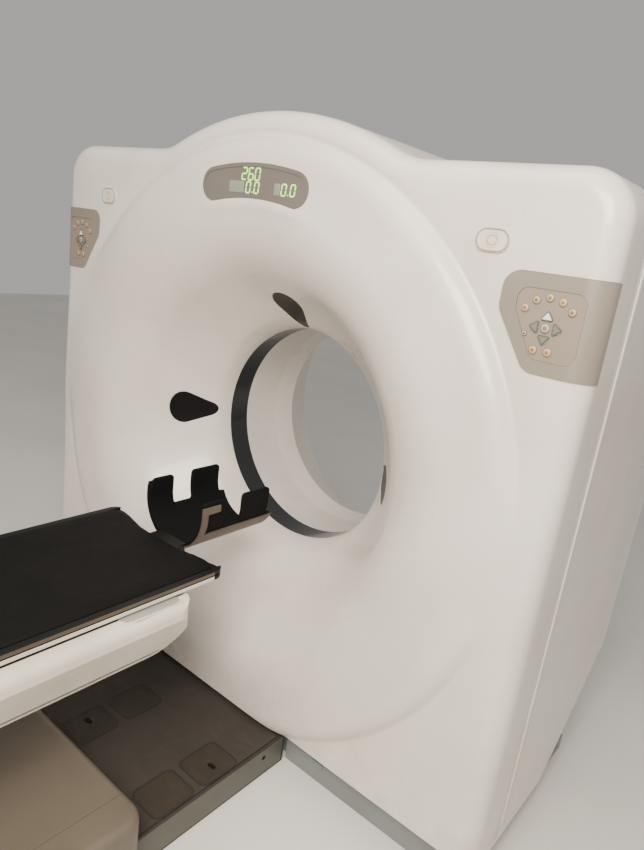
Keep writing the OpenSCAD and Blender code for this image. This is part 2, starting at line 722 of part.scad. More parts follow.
module power_unit() color([0.6, 0.62, 0.6]) both_sides() {
    box(450, 620, -110, drum_y - touch, iso_h - 100, iso_h + 100);
    for (z = [-80 : 20 : 80]) box(460, 610, -122, -109, iso_h + z - 3, iso_h + z + 3);
}

// Floor parts
beam_y = 330;
anchor_y = 40;
module base_plate() color(steel) {
    difference() {
        box(-half_w + 24, half_w - 24, -plinth_y + 17, beam_y + 40, 0, base_t);
        for (s = [-1, 1], y = [-1, 1])
            translate([s * anchor_w / 2, anchor_y + y * anchor_l / 2, -1]) cylinder(r = anchor_r, h = base_t + 2);
    }
    box(-half_w + 24, half_w - 24, -plinth_y + 17, -plinth_y + 57, base_t - 1, 46);
    box(-half_w + 24, half_w - 24, beam_y, beam_y + 40, base_t - 1, 46);
    for (s = [-1, 1], y = [-plinth_y + 37, beam_y + 20]) translate([s * (half_w - 60), y, 45]) {
        cylinder(r = 16, h = 4, $fn = 6);
        cylinder(r = 8, h = 12);
    }
}
module plinth_strip() color(strip_grey) both_sides() {
    box(plate_w + touch, half_w - 26, -plinth_y, -plinth_y + 16.8, 0, plinth_h);
    box(plate_w + 90, plate_w + 130, -plinth_y - 2, -plinth_y + 0.1, plinth_h - 20, plinth_h - 6);
}
module foot_plate() color(floor_grey) difference() {
    union() {
        box(-plate_w, plate_w, -base_front + touch, 15 - front_depth, 0, plate_h - 6);
        box(-plate_w + 5, plate_w - 5, -base_front + touch, 15 - front_depth, plate_h - 7, plate_h);
    }
    box(-plate_w + plate_skin, plate_w - plate_skin, -base_front + 10, -front_depth + 5, -1, plate_h - 20);
    intersection() {
        box(-plate_w - 1, plate_w + 1, -base_front, 0, plate_h - 8, plate_h + 20);
        along_x(-plate_w - 1, plate_w + 1) translate([0, iso_h]) circle(swing_r + 6);
    }
    for (x = hatch_x, y = hatch_y) hatch_recess(x, y);
}
module hatch_recess(x, y) translate([x, y, plate_h - 6]) {
    linear_extrude(7) round_rect(hatch_w + 2 * hatch_gap, hatch_l + 2 * hatch_gap, 18 + hatch_gap);
    translate([0, 0, -30]) linear_extrude(31) round_rect(hatch_w - 16, hatch_l - 16, 12);
}
module hatch(i, j, hole = []) color([0.27, 0.26, 0.24]) translate([hatch_x[i], hatch_y[j], plate_h - 6 + touch])
    difference() {
        linear_extrude(6) round_rect(hatch_w, hatch_l, 18);
        if (len(hole) == 2) translate([hole[0], hole[1], -1]) linear_extrude(8) round_rect(26, 13, 6.4);
    }
module hatch_right_front() hatch(0, 0, [14, 0]);
module hatch_right_rear() hatch(0, 1);
module hatch_left_front() hatch(1, 0);
module hatch_left_rear() hatch(1, 1, [-15, 2]);

// A box with rounded upright corners rc and a rounded top edge re, from z0 up to z1
module soft_box(x1, y0, y1, z0, z1, rc, re) {
    along_x(-x1 + rc, x1 - rc) top_round2d(y0, y1, z0, z1, re);
    along_y(y0 + rc, y1 - rc) top_round2d(-x1, x1, z0, z1, re);
    for (s = [-1, 1], y = [y0 + rc, y1 - rc]) translate([s * (x1 - rc), y, 0]) rotate_extrude() {
        translate([0, z0]) square([rc, z1 - re - z0]);
        translate([0, z1 - re]) square([rc - re, re]);
        translate([rc - re, z1 - re]) quarter(re, 1, 1);
    }
}
module top_round2d(a, b, z0, z1, re) {
    translate([a, z0]) square([b - a, z1 - re - z0]);
    translate([a + re, z1 - re]) square([b - a - 2 * re, re]);
    translate([a + re, z1 - re]) quarter(re, -1, 1);
    translate([b - re, z1 - re]) quarter(re, 1, 1);
}
base_rc = 60;
base_re = 26;
base_seam_x = base_w - 88;
sleeve_wx = 165;
sleeve_wy = 250;
module table_base_shell() difference() {
    soft_box(base_w, -base_front - base_l, -base_front, 6, base_h, base_rc, base_re);
    soft_box(base_w - wall, -base_front - base_l + wall, -base_front - wall, 0, base_h - wall, base_rc - wall, base_re - wall);
    translate([0, column_c, base_h / 2]) linear_extrude(base_h) round_rect(2 * sleeve_wx + 4, 2 * sleeve_wy + 4, 22);
}
module table_base_top() color(panel_grey) intersection() {
    table_base_shell();
    box(-base_seam_x + seam, base_seam_x - seam, -base_front - base_l - 1, -base_front + 1, 0, base_h + 1);
}
module table_base_side(side) color(panel_grey) left_of(side) intersection() {
    table_base_shell();
    box(base_seam_x, base_w + 1, -base_front - base_l - 1, -base_front + 1, 0, base_h + 1);
}
module table_base_side_left() table_base_side(-1);
module table_base_side_right() table_base_side(1);
module table_base_frame() color(steel) difference() {
    table_base_beams();
    for (s = [-1, 1], y = [-base_front - base_l + 65, -base_front - 65])
        translate([s * 225, y, -1]) cylinder(r = anchor_r, h = 70);
}
module table_base_beams() {
    both_sides() box(200, 250, -base_front - base_l + 40, -base_front - 40, 10, 60);
    for (y = [-base_front - base_l + 62, column_c - sleeve_wy - 60, column_c + sleeve_wy + 10, -base_front - 112])
        box(-base_w + wall + touch, base_w - wall - touch, y, y + 50, 10, 59);
    for (s = [-1, 1], y = [-base_front - base_l + 65, -base_front - 65])
        translate([s * 225, y, 0]) cylinder(r = 35, h = 11);
    box(-200, 200, column_c - sleeve_wy - 11, column_c + sleeve_wy + 11, 10, 18);
}

// Lift: three nested sleeves round a screw
module sleeve(n, z0, z1, t = 4.5) translate([0, column_c, z0]) linear_extrude(z1 - z0) difference() {
    round_rect(2 * (sleeve_wx - n * (t + 0.5)), 2 * (sleeve_wy - n * (t + 0.5)), 20 - 4 * n);
    round_rect(2 * (sleeve_wx - n * (t + 0.5) - t), 2 * (sleeve_wy - n * (t + 0.5) - t), 17 - 4 * n);
}
screw_r = 14;
nut_z = lift_down + 55;
module lift_sleeve_lower() color(panel_grey) sleeve(0, 18 + touch, base_h + 12);
module lift_sleeve_middle() color(panel_grey) sleeve(1, lift_down / 2 + 20, base_h + 110);
module lift_drive() color(steel) difference() {
    union() {
        translate([-60, column_c - 60, 18 + touch]) cube([120, 120, 14]);
        translate([0, column_c + 95, 18 + touch]) cylinder(r = 38, h = 105);
        translate([-38, column_c, 18 + touch]) cube([76, 95, 14]);
    }
    translate([0, column_c, 20]) cylinder(r = 10 + fit, h = 40);
}
module lift_screw() color([0.7, 0.71, 0.73]) translate([0, column_c, 0]) {
    translate([0, 0, 20 + fit]) cylinder(r = 10, h = 20);
    translate([0, 0, 33]) cylinder(r = screw_r, h = nut_z + lift_up + 10 - 33);
}
module table_frame() color(steel) {
    sleeve(2, nut_z - 20, housing_z - touch);
    difference() {
        union() {
            translate([0, column_c, nut_z - 20]) cylinder(r = 30, h = 50);
            box(-sleeve_in, sleeve_in, column_c - 25, column_c + 25, nut_z - 20, nut_z - 8);
            box(-sleeve_in, sleeve_in, column_c - 180, column_c + 180, housing_z - 30, housing_z - touch);
            box(-117, 117, column_c - 156, column_c + 156, housing_z - 1, housing_z + 30);
            box(-121, 121, column_c - 160, column_c + 160, housing_z + housing_t + touch, housing_z + 30);
        }
        translate([0, column_c, nut_z - 30]) cylinder(r = screw_r + fit, h = housing_z + 61 - nut_z);
    }
    both_sides() {
        box(120, 150, -housing_front - housing_l + 60, -housing_front - 100, housing_z + housing_t + touch, housing_z + 60);
        box(120, 150, -housing_front - 101, -housing_front - 60, housing_z + 30, housing_z + 60);
        for (y = [front_roller_y, rear_roller_y]) difference() {
            box(140, 150, y - 25, y + 25, housing_z + 50, roller_z + 12);
            rod_x(7 + fit, 130, 160, y, roller_z);
        }
    }
    for (i = [0 : 4]) box(-121, 121, cross_y(i), cross_y(i) + 40, housing_z + housing_t + touch, housing_z + 50);
}
sleeve_in = sleeve_wx - 12;
front_roller_y = -housing_front - 90;
rear_roller_y = -housing_front - 1000;
function cross_y(i) = -housing_front - 150 - i * (housing_l - 300) / 4;
module roller(y) color(dark) {
    both_sides() rod_x(roller_r, 172, 208, y, roller_z);
    rod_x(7, -175, 175, y, roller_z);
}
module front_roller() roller(front_roller_y);
module rear_roller() roller(rear_roller_y);

// Table housing: a long open trough with a rounded nose
module housing_section(t = 0) {
    low_w = housing_w - 42 - 0.7 * t;
    difference() {
        union() {
            polygon([[-low_w, housing_z + t], [low_w, housing_z + t], [housing_w - t, housing_z + 0.72 * housing_h],
                [housing_w - t, housing_top - 22], [-housing_w + t, housing_top - 22],
                [-housing_w + t, housing_z + 0.72 * housing_h]]);
            if (t == 0) translate([-housing_w + 22, housing_top - 22]) square([2 * housing_w - 44, 22]);
            if (t == 0) for (s = [-1, 1]) translate([s * (housing_w - 22), housing_top - 22]) quarter(22, s, 1);
            if (t > 0) translate([-housing_w + 36, housing_z + t]) square([2 * housing_w - 72, housing_h + 50]);
        }
    }
}
module housing_body(t = 0) intersection() {
    along_y(-housing_front - housing_l + t, -housing_front - t) housing_section(t);
    along_x(-housing_w, housing_w) {
        translate([-housing_front - housing_l, housing_z - 10]) square([housing_l - 90, housing_h + 90]);
        translate([-housing_front - 90, housing_z + 85]) square([90 - t, housing_h + 20]);
        translate([-housing_front - 90, housing_z + 90]) circle(90 - t);
    }
    translate([0, 0, housing_z - 10]) linear_extrude(housing_h + 100) {
        translate([-housing_w, -housing_front - housing_l]) square([2 * housing_w, housing_l - 40]);
        translate([-housing_w + 40, -housing_front - 50]) square([2 * housing_w - 80, 50 - t]);
        for (s = [-1, 1]) translate([s * (housing_w - 40), -housing_front - 40]) circle(40 - t);
    }
}
module table_housing() color(white) difference() {
    housing_body();
    housing_body(housing_t);
    translate([0, column_c, housing_z - 1]) linear_extrude(housing_t + 2) round_rect(2 * sleeve_wx - 86, 2 * sleeve_wy - 178, 8);
    both_sides() box(housing_w - 20, housing_w - 12, -housing_front - 185, -housing_front - 25, housing_top - 2, housing_top + 1);
    along_y(-housing_front - housing_l - 1, -housing_front + 1) intersection() {
        translate([0, board_edge_z + board_sag_r - board_dip]) circle(board_sag_r + 4, $fn = 720);
        translate([-cradle_w + 12, housing_top - 40]) square([2 * cradle_w - 24, 60]);
    }
}

// Cradle: a thin curved board with channel rims, its pad and the head holder
board_sag_r = (pow(cradle_w - 12, 2) + board_dip * board_dip) / (2 * board_dip);
module cradle_plan(inset = 0) {
    w = cradle_w - inset;
    y1 = -cradle_front - inset;
    y0 = -cradle_front - cradle_l + inset;
    translate([-w, y0]) square([2 * w, cradle_l - 2 * inset - 40]);
    polygon([[w - 30, y1 - 45], [w - 30, y1], [w - 50, y1], [w - 120, y1 - 11], [-w + 120, y1 - 11],
        [-w + 50, y1], [-w + 30, y1], [-w + 30, y1 - 45]]);
    for (s = [-1, 1]) translate([s * (w - 30), y1 - 30]) {
        circle(30);
        translate([-30, -15]) square([60, 15]);
    }
}
module cradle_board() color([0.16, 0.15, 0.15]) {
    intersection() {
        translate([0, 0, 500]) linear_extrude(300) cradle_plan();
        along_y(-cradle_front - cradle_l, -cradle_front) {
            intersection() {
                translate([0, board_edge_z + board_sag_r - board_dip]) difference() {
                    circle(board_sag_r, $fn = 720);
                    circle(board_sag_r - board_t, $fn = 720);
                }
                translate([-cradle_w + 12, 500]) square([2 * cradle_w - 24, 150]);
            }
            for (s = [-1, 1]) translate([s * (cradle_w - 8), cradle_z - rim_h / 2]) difference() {
                square([16, rim_h], center = true);
                translate([s * 7, 0]) square([6, 4], center = true);
            }
        }
    }
}
module cradle_pad() color(dark) difference() {
    intersection() {
        translate([0, 0, 500]) linear_extrude(300) cradle_plan(18);
        along_y(-cradle_front - cradle_l, -cradle_front) difference() {
            translate([-cradle_w, cradle_z - 40]) square([2 * cradle_w, 44]);
            translate([0, cradle_z + 4 + 2400 - 6]) circle(2400, $fn = 720);
            difference() {
                translate([-cradle_w, cradle_z - 60]) square([2 * cradle_w, 60]);
                translate([0, board_edge_z + board_sag_r - board_dip]) circle(board_sag_r - board_t - touch, $fn = 720);
            }
        }
    }
    box(-tongue_w - 2, tongue_w + 2, -cradle_front - tongue_l - 2, 0, 500, tongue_z + 8.5);
}
tongue_w = 50;
tongue_l = 105;
tongue_z = board_edge_z - board_dip + board_t + touch + 1.2;

// Trough outline in cross-section (x, z), and the outlines of its ears in side view (y, z)
module trough2d(r, t) translate([0, trough_z]) {
    difference() {
        union() { circle(r); translate([-r, 0]) square([2 * r, ear_rise]); }
        circle(r - t);
        translate([-r + t, 0]) square([2 * (r - t), ear_rise + 1]);
    }
}
module ears2d() {
    top = trough_z + ear_rise;
    y0 = holder_y0 + 5;
    translate([y0, trough_z - trough_r]) square([trough_l - 7, trough_r - trough_rise + 34]);
    for (e = [[y0, 71], [y0 + 134, 102]]) translate([e[0], trough_z - trough_rise + 30]) {
        h = ear_rise + trough_rise - 30;
        square([e[1], h - 12]);
        translate([12, h - 12]) square([e[1] - 24, 12]);
        translate([12, h - 12]) quarter(12, -1, 1);
        translate([e[1] - 12, h - 12]) quarter(12, 1, 1);
    }
}
module shell2d() {
    translate([holder_y0, trough_z - trough_r - 1]) square([trough_l, trough_r - trough_rise + 29]);
    translate([holder_y0, trough_z - 50]) square([18, 80]);
    translate([holder_y0, trough_z + 12]) square([58, 18]);
}
module head_holder_shell() color([0.6, 0.55, 0.48]) {
    intersection() {
        along_y(holder_y0, holder_y0 + trough_l) trough2d(trough_r, trough_t);
        along_x(-trough_r - 1, trough_r + 1) shell2d();
    }
    box(-tongue_w, tongue_w, holder_y0 - 10, holder_y0 + 4, trough_z - trough_r + 1, tongue_z + 7);
    box(-tongue_w, tongue_w, -cradle_front - tongue_l, holder_y0, tongue_z, tongue_z + 7);
}
module head_holder_lining() color(dark) intersection() {
    along_y(holder_y0, holder_y0 + trough_l) trough2d(trough_r - trough_t - touch, lining_t);
    along_x(-trough_r, trough_r) ears2d();
}

base_plate();
trunnion_tower_left();
trunnion_tower_right();
trunnion_bearings();
tilt_motor();
tilt_pinion();
plinth_strip();
foot_plate();
hatch_right_front();
hatch_right_rear();
hatch_left_front();
hatch_left_rear();
tilt_frame();
trunnion_pins();
tilt_sector();
front_cover();
side_cover_left();
side_cover_right();
top_cover();
rear_cover();
scan_window();
bore_liner();
laser_windows();
display_plate();
control_panel_left();
control_panel_right();
keypad_left();
keypad_right();
estop_plate_left();
estop_plate_right();
estop_button_left();
estop_button_right();
drum_bearing_ring();
brush_block();
drum_motor();
motor_pulley();
drum_belt();
rotor_drum();
slip_ring();
xray_tube();
collimator();
detector_arc();
power_unit();
table_base_frame();
table_base_top();
table_base_side_left();
table_base_side_right();
lift_sleeve_lower();
lift_drive();
lift_screw();
lift_sleeve_middle();
table_frame();
table_housing();
front_roller();
rear_roller();
cradle_board();
cradle_pad();
head_holder_shell();
head_holder_lining();
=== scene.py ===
"""A hospital CT scanner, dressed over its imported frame.

The gantry's front cover, the marks on its panels, the soft parts of the table and
the skin of the foot plate are built here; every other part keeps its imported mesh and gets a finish.
"""

import logging
import math
from dataclasses import dataclass, field
from enum import Enum

import bmesh
import bpy
from mathutils import Matrix, Vector


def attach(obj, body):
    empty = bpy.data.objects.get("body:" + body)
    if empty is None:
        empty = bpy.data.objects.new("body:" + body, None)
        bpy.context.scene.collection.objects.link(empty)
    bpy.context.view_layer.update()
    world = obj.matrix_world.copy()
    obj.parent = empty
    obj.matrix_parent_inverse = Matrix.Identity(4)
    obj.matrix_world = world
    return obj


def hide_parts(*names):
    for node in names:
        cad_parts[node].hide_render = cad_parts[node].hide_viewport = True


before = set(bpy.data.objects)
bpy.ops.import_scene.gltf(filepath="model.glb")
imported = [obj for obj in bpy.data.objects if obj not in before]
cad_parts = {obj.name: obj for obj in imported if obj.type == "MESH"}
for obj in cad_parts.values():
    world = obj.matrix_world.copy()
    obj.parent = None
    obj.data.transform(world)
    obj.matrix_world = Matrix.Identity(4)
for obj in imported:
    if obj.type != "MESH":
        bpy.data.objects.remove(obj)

LOG = logging.getLogger("ct_scanner")
MM = 0.001
Point = tuple[float, float]


# Small tools


def linear(code: str) -> tuple[float, float, float, float]:
    """Turns an sRGB hex value into a linear colour.

    Args:
        code: six hex digits, with or without a leading hash.

    Returns:
        Linear red, green and blue, and an alpha of 1.
    """
    code = code.lstrip("#")
    parts = [int(code[i : i + 2], 16) / 255 for i in (0, 2, 4)]
    r, g, b = (c / 12.92 if c <= 0.04045 else ((c + 0.055) / 1.055) ** 2.4 for c in parts)
    return (r, g, b, 1.0)


def add(
    tree: bpy.types.NodeTree,
    kind: str,
    settings: dict | None = None,
    links: dict | None = None,
) -> bpy.types.Node:
    """Adds a shader node with its settings and links.

    Args:
        tree: the material's node tree.
        kind: the node's type name after "ShaderNode".
        settings: socket or property names and their values; "stops" sets a colour ramp.
        links: input sockets and the outputs that feed them.

    Returns:
        The new node.
    """
    node = tree.nodes.new("ShaderNode" + kind)
    for key, value in (settings or {}).items():
        if key == "stops":
            ramp = node.color_ramp.elements
            while len(ramp) < len(value):
                ramp.new(1.0)
            for stop, (place, colour) in zip(ramp, value):
                stop.position, stop.color = place, colour
        elif isinstance(key, int) or key in node.inputs:
            node.inputs[key].default_value = value
        else:
            setattr(node, key, value)
    for key, source in (links or {}).items():
        tree.links.new(source, node.inputs[key])
    return node


def grey(v: float) -> tuple[float, float, float, float]:
    """Returns a neutral ramp colour of value v."""
    return (v, v, v, 1.0)


def make_mesh(name: str, verts: list, faces: list, sharp_deg: float = 34.0) -> bpy.types.Object:
    """Makes an object from vertices and faces, smooth except at sharp edges.

    Args:
        name: the piece's name.
        verts: points in metres.
        faces: tuples of vertex numbers, turning left round the outward side.
        sharp_deg: edges that bend more than this stay sharp.

    Returns:
        The object, linked to the scene.
    """
    mesh = bpy.data.meshes.new(name)
    mesh.from_pydata([tuple(v) for v in verts], [], faces)
    obj = bpy.data.objects.new(name, mesh)
    bpy.context.scene.collection.objects.link(obj)
    crease(obj, sharp_deg)
    return obj


def crease(obj: bpy.types.Object, sharp_deg: float = 34.0) -> None:
    """Smooths an object's faces and marks the edges that bend more than sharp_deg.

    Args:
        obj: the mesh object.
        sharp_deg: the largest bend that still shades as round.
    """
    bm = bmesh.new()
    bm.from_mesh(obj.data)
    limit = math.radians(sharp_deg)
    for face in bm.faces:
        face.smooth = True
    for edge in bm.edges:
        edge.smooth = len(edge.link_faces) != 2 or edge.calc_face_angle(0.0) < limit
    bm.to_mesh(obj.data)
    bm.free()


def settle(obj: bpy.types.Object, sharp_deg: float = 34.0) -> bpy.types.Object:
    """Makes an object's modifiers part of its mesh.

    Args:
        obj: the object with modifiers.
        sharp_deg: the bend that stays sharp afterwards.

    Returns:
        The same object.
    """
    graph = bpy.context.evaluated_depsgraph_get()
    graph.update()
    mesh = bpy.data.meshes.new_from_object(obj.evaluated_get(graph))
    obj.modifiers.clear()
    obj.data = mesh
    crease(obj, sharp_deg)
    return obj


def cut(obj: bpy.types.Object, tool: bpy.types.Object, keep_inside: bool = False) -> None:
    """Cuts an object with a closed tool, which is used up.

    Args:
        obj: the object that is cut.
        tool: a closed object.
        keep_inside: True keeps what lies inside the tool, False what lies outside.
    """
    mod = obj.modifiers.new("cut", "BOOLEAN")
    mod.object, mod.solver = tool, "MANIFOLD"
    mod.operation = "INTERSECT" if keep_inside else "DIFFERENCE"
    settle(obj)
    bpy.data.objects.remove(tool)


def arc(centre: Point, r: float, start: float, end: float, steps: int) -> list[Point]:
    """Returns points on an arc, from start to end in degrees."""
    turns = (math.radians(start + (end - start) * i / steps) for i in range(steps + 1))
    return [(centre[0] + r * math.cos(a), centre[1] + r * math.sin(a)) for a in turns]


def grown(outline: list[Point], by: float) -> list[Point]:
    """Moves a left-turning outline outward.

    Args:
        outline: points of a closed outline, turning left.
        by: the distance, in metres; negative moves it inward.

    Returns:
        The moved points, one for each given point.
    """
    out = []
    for i, p in enumerate(outline):
        a, b = Vector(outline[i - 1]), Vector(outline[(i + 1) % len(outline)])
        here = Vector(p)
        d0, d1 = (here - a).normalized(), (b - here).normalized()
        n0, n1 = Vector((d0.y, -d0.x)), Vector((d1.y, -d1.x))
        n = (n0 + n1).normalized()
        out.append(tuple(here + n * (by / max(n.dot(n0), 0.4))))
    return out


class Plane(Enum):
    """The plane an outline lies in, and the axis it is drawn out along."""

    FRONT = "xz"
    SIDE = "yz"
    PLAN = "xy"

    def lift(self, p: Point, depth: float) -> tuple[float, float, float]:
        """Returns the point in space of an outline's point at a depth along the axis."""
        return {
            "xz": (p[0], depth, p[1]), "yz": (depth, p[0], p[1]), "xy": (p[0], p[1], depth)
        }[self.value]


def loft(
    name: str,
    rings: list[list[tuple]],
    closed_ends: bool = True,
    sharp_deg: float = 34.0,
) -> bpy.types.Object:
    """Joins rings of the same number of points into a skin.

    Args:
        name: the piece's name.
        rings: the rings, each a list of points in space.
        closed_ends: True closes the first and the last ring with a face.
        sharp_deg: the bend that stays sharp.

    Returns:
        The object, with its faces turned outward.
    """
    n = len(rings[0])
    verts = [p for ring in rings for p in ring]
    faces = [
        (j * n + i, j * n + (i + 1) % n, (j + 1) * n + (i + 1) % n, (j + 1) * n + i)
        for j in range(len(rings) - 1)
        for i in range(n)
    ]
    if closed_ends:
        faces += [tuple(range(n - 1, -1, -1)), tuple(range((len(rings) - 1) * n, len(rings) * n))]
    obj = make_mesh(name, verts, faces, sharp_deg)
    bm = bmesh.new()
    bm.from_mesh(obj.data)
    if closed_ends:
        bmesh.ops.recalc_face_normals(bm, faces=bm.faces)
    bm.to_mesh(obj.data)
    bm.free()
    return obj


def plate(
    name: str,
    outline: list[Point],
    plane: Plane,
    back: float,
    front: float,
    bevel: float = 0.0,
) -> bpy.types.Object:
    """Makes a flat piece from an outline, with its front edge rounded.

    Args:
        name: the piece's name.
        outline: a closed outline, turning left, in metres.
        plane: the plane of the outline.
        back: the depth of its back face.
        front: the depth of its front face.
        bevel: the radius of the front edge.

    Returns:
        The closed object.
    """
    sign = 1 if front > back else -1
    rings = [[plane.lift(p, back) for p in outline]]
    if bevel:
        for k in range(4):
            a = math.radians(30 * k)
            inset, depth = bevel * (1 - math.cos(a)), front - sign * bevel * (1 - math.sin(a))
            rings.append([plane.lift(p, depth) for p in grown(outline, -inset)])
    else:
        rings.append([plane.lift(p, front) for p in outline])
    return loft(name, rings)


def lathe(
    name: str,
    profile: list[Point],
    centre: tuple[float, float, float],
    toward: Vector,
    steps: int = 40,
) -> bpy.types.Object:
    """Turns a profile about an axis.

    Args:
        name: the piece's name.
        profile: (radius, height) points from the base up to the axis.
        centre: the foot of the axis.
        toward: the axis direction.
        steps: faces round the axis.

    Returns:
        The closed object.
    """
    up = Vector(toward).normalized()
    side = up.orthogonal().normalized()
    across = up.cross(side)
    rings = []
    for r, h in profile:
        rings.append(
            [
                tuple(
                    Vector(centre) + up * h + (side * math.cos(a) + across * math.sin(a)) * max(r, 1e-5)
                )
                for a in (math.tau * i / steps for i in range(steps))
            ]
        )
    return loft(name, rings)


def joined(name: str, parts: list[bpy.types.Object]) -> bpy.types.Object:
    """Joins mesh objects into one.

    Args:
        name: the name of the result.
        parts: the objects, which are used up.

    Returns:
        The joined object.
    """
    bm = bmesh.new()
    for part in parts:
        bm.from_mesh(part.data)
        bpy.data.objects.remove(part)
    mesh = bpy.data.meshes.new(name)
    bm.to_mesh(mesh)
    bm.free()
    obj = bpy.data.objects.new(name, mesh)
    bpy.context.scene.collection.objects.link(obj)
    return obj


def place(obj: bpy.types.Object, body: str, slot: str, finish: bpy.types.Material) -> bpy.types.Object:
    """Gives a new piece its body and its finish.

    Args:
        obj: the piece.
        body: the CAD body that it rides on.
        slot: not used.
        finish: its material.

    Returns:
        The piece.
    """
    obj.data.materials.clear()
    obj.data.materials.append(finish)
    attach(obj, body)
    LOG.info("made %s on %s", obj.name, body)
    return obj


# Finishes


@dataclass(frozen=True)
class Finish:
    """A finish with a cloudy colour, a fine relief and an uneven gloss.

    Each finish of the scanner is one of these or a class that adds its own pattern.
    """

    name: str
    shade: str
    deep: str
    roughness: float
    metallic: float = 0.0
    ior: float = 1.5
    coat: float = 0.0
    cloud_mm: float = 260.0
    grain_mm: float = 4.0
    grain_depth_mm: float = 0.02
    unevenness: float = 0.04

    def colour(self, tree: bpy.types.NodeTree, where: bpy.types.NodeSocket) -> bpy.types.NodeSocket:
        """Returns the colour: the shade, clouded with the deeper tone."""
        cloud = add(
            tree,
            "TexNoise",
            {"Scale": 1 / (self.cloud_mm * MM), "Detail": 4.0, "Roughness": 0.55},
            {"Vector": where},
        )
        ramp = add(
            tree,
            "ValToRGB",
            {"stops": [(0.32, linear(self.deep)), (0.62, linear(self.shade))]},
            {"Fac": cloud.outputs["Fac"]},
        )
        return ramp.outputs["Color"]

    def relief(self, tree: bpy.types.NodeTree, where: bpy.types.NodeSocket) -> bpy.types.NodeSocket:
        """Returns the height of the fine relief, from 0 to 1."""
        grain = add(
            tree, "TexNoise", {"Scale": 1 / (self.grain_mm * MM), "Detail": 2.0}, {"Vector": where}
        )
        return grain.outputs["Fac"]

    def gloss(self, tree: bpy.types.NodeTree, where: bpy.types.NodeSocket) -> bpy.types.NodeSocket:
        """Returns the roughness: the typical value, handled unevenly."""
        smear = add(
            tree, "TexNoise", {"Scale": 1 / (self.cloud_mm * 0.4 * MM), "Detail": 5.0}, {"Vector": where}
        )
        spread = add(
            tree,
            "MapRange",
            {
                "From Min": 0.3,
                "From Max": 0.7,
                "To Min": max(self.roughness - self.unevenness, 0.01),
                "To Max": self.roughness + self.unevenness,
            },
            {"Value": smear.outputs["Fac"]},
        )
        return spread.outputs["Result"]

    def extra(self, shader: bpy.types.Node) -> None:
        """Sets what only some finishes have on the shader itself."""

    def build(self) -> bpy.types.Material:
        """Returns the material, made once."""
        done = bpy.data.materials.get(self.name)
        if done:
            return done
        mat = bpy.data.materials.new(self.name)
        mat.use_nodes = True
        tree = mat.node_tree
        tree.nodes.clear()
        where = add(tree, "TexCoord").outputs["Object"]
        bump = add(
            tree,
            "Bump",
            {"Strength": 1.0, "Distance": self.grain_depth_mm * MM},
            {"Height": self.relief(tree, where)},
        )
        shader = add(
            tree,
            "BsdfPrincipled",
            {
                "Metallic": self.metallic, "IOR": self.ior, "Coat Weight": self.coat,
                "Coat Roughness": 0.06,
            },
            {
                "Base Color": self.colour(tree, where), "Roughness": self.gloss(tree, where),
                "Normal": bump.outputs["Normal"],
            },
        )
        self.extra(shader)
        add(tree, "OutputMaterial", {}, {"Surface": shader.outputs["BSDF"]})
        return mat


@dataclass(frozen=True)
class SprayedCover(Finish):
    """Reaction-moulded polyurethane, sprayed with warm white two-pack enamel.

    It gives the eye a soft broad gloss, a few specks, and a tone that darkens towards the bottom: grime
    on the gantry covers, painted shade on the table housing.
    """

    grime_and_shade: str = "8F8272"
    grime_and_shade_low: float = 0.06
    grime_and_shade_high: float = 0.30
    speck_mm: float = 55.0

    def colour(self, tree: bpy.types.NodeTree, where: bpy.types.NodeSocket) -> bpy.types.NodeSocket:
        """Returns the enamel, greyed towards the bottom and in small specks; the low greying is grime on
        the gantry covers and painted shade on the table housing.
        """
        base = super().colour(tree, where)
        height = add(tree, "SeparateXYZ", {}, {"Vector": where}).outputs["Z"]
        # darker towards the bottom in patches: grime on the gantry covers, painted shade on the table
        # housing's lower side
        low = add(
            tree, "MapRange", {
                "From Min": self.grime_and_shade_low, "From Max": self.grime_and_shade_high, "To Min": 0.62, "To Max": 0.0
            }, {"Value": height}
        )
        blotch = add(
            tree,
            "TexNoise",
            {"Scale": 1 / (70 * MM), "Detail": 8.0, "Roughness": 0.7},
            {"Vector": where},
        )
        patch = add(
            tree,
            "ValToRGB",
            {"stops": [(0.42, grey(0)), (0.75, grey(0.55))]},
            {"Fac": blotch.outputs["Fac"]},
        )
        grime_and_shade_mask = add(
            tree,
            "Math",
            {"operation": "MULTIPLY"},
            {0: low.outputs["Result"], 1: patch.outputs["Color"]},
        )
        grimed_and_shaded = add(
            tree, "Mix", {"data_type": "RGBA", 7: linear(self.grime_and_shade)}, {0: grime_and_shade_mask.outputs[0], 6: base}
        )
        # specks of dirt about 1.5 mm wide, one to every 50 mm or so
        cells = add(
            tree, "TexVoronoi", {"Scale": 1 / (self.speck_mm * MM), "Randomness": 1.0}, {"Vector": where}
        )
        speck = add(
            tree,
            "ValToRGB",
            {"stops": [(0.018, grey(0.6)), (0.034, grey(0))]},
            {"Fac": cells.outputs["Distance"]},
        )
        out = add(
            tree,
            "Mix",
            {"data_type": "RGBA", 7: linear("6B5A49")},
            {0: speck.outputs["Color"], 6: grimed_and_shaded.outputs[2]},
        )
        return out.outputs[2]


@dataclass(frozen=True)
class GrainedVinyl(Finish):
    """Calendered vinyl with an embossed grain, stretched over foam: black with broken highlights."""

    def relief(self, tree: bpy.types.NodeTree, where: bpy.types.NodeSocket) -> bpy.types.NodeSocket:
        """Returns pebbled cells of the grain size over slow dimples."""
        cells = add(
            tree,
            "TexVoronoi",
            {"Scale": 1 / (self.grain_mm * MM), "feature": "SMOOTH_F1", "Smoothness": 0.4},
            {"Vector": where},
        )
        slow = add(tree, "TexNoise", {"Scale": 1 / (28 * MM), "Detail": 3.0}, {"Vector": where})
        return add(
            tree,
            "Math",
            {"operation": "MULTIPLY_ADD", 1: 2.5},
            {0: slow.outputs["Fac"], 2: cells.outputs["Distance"]},
        ).outputs[0]


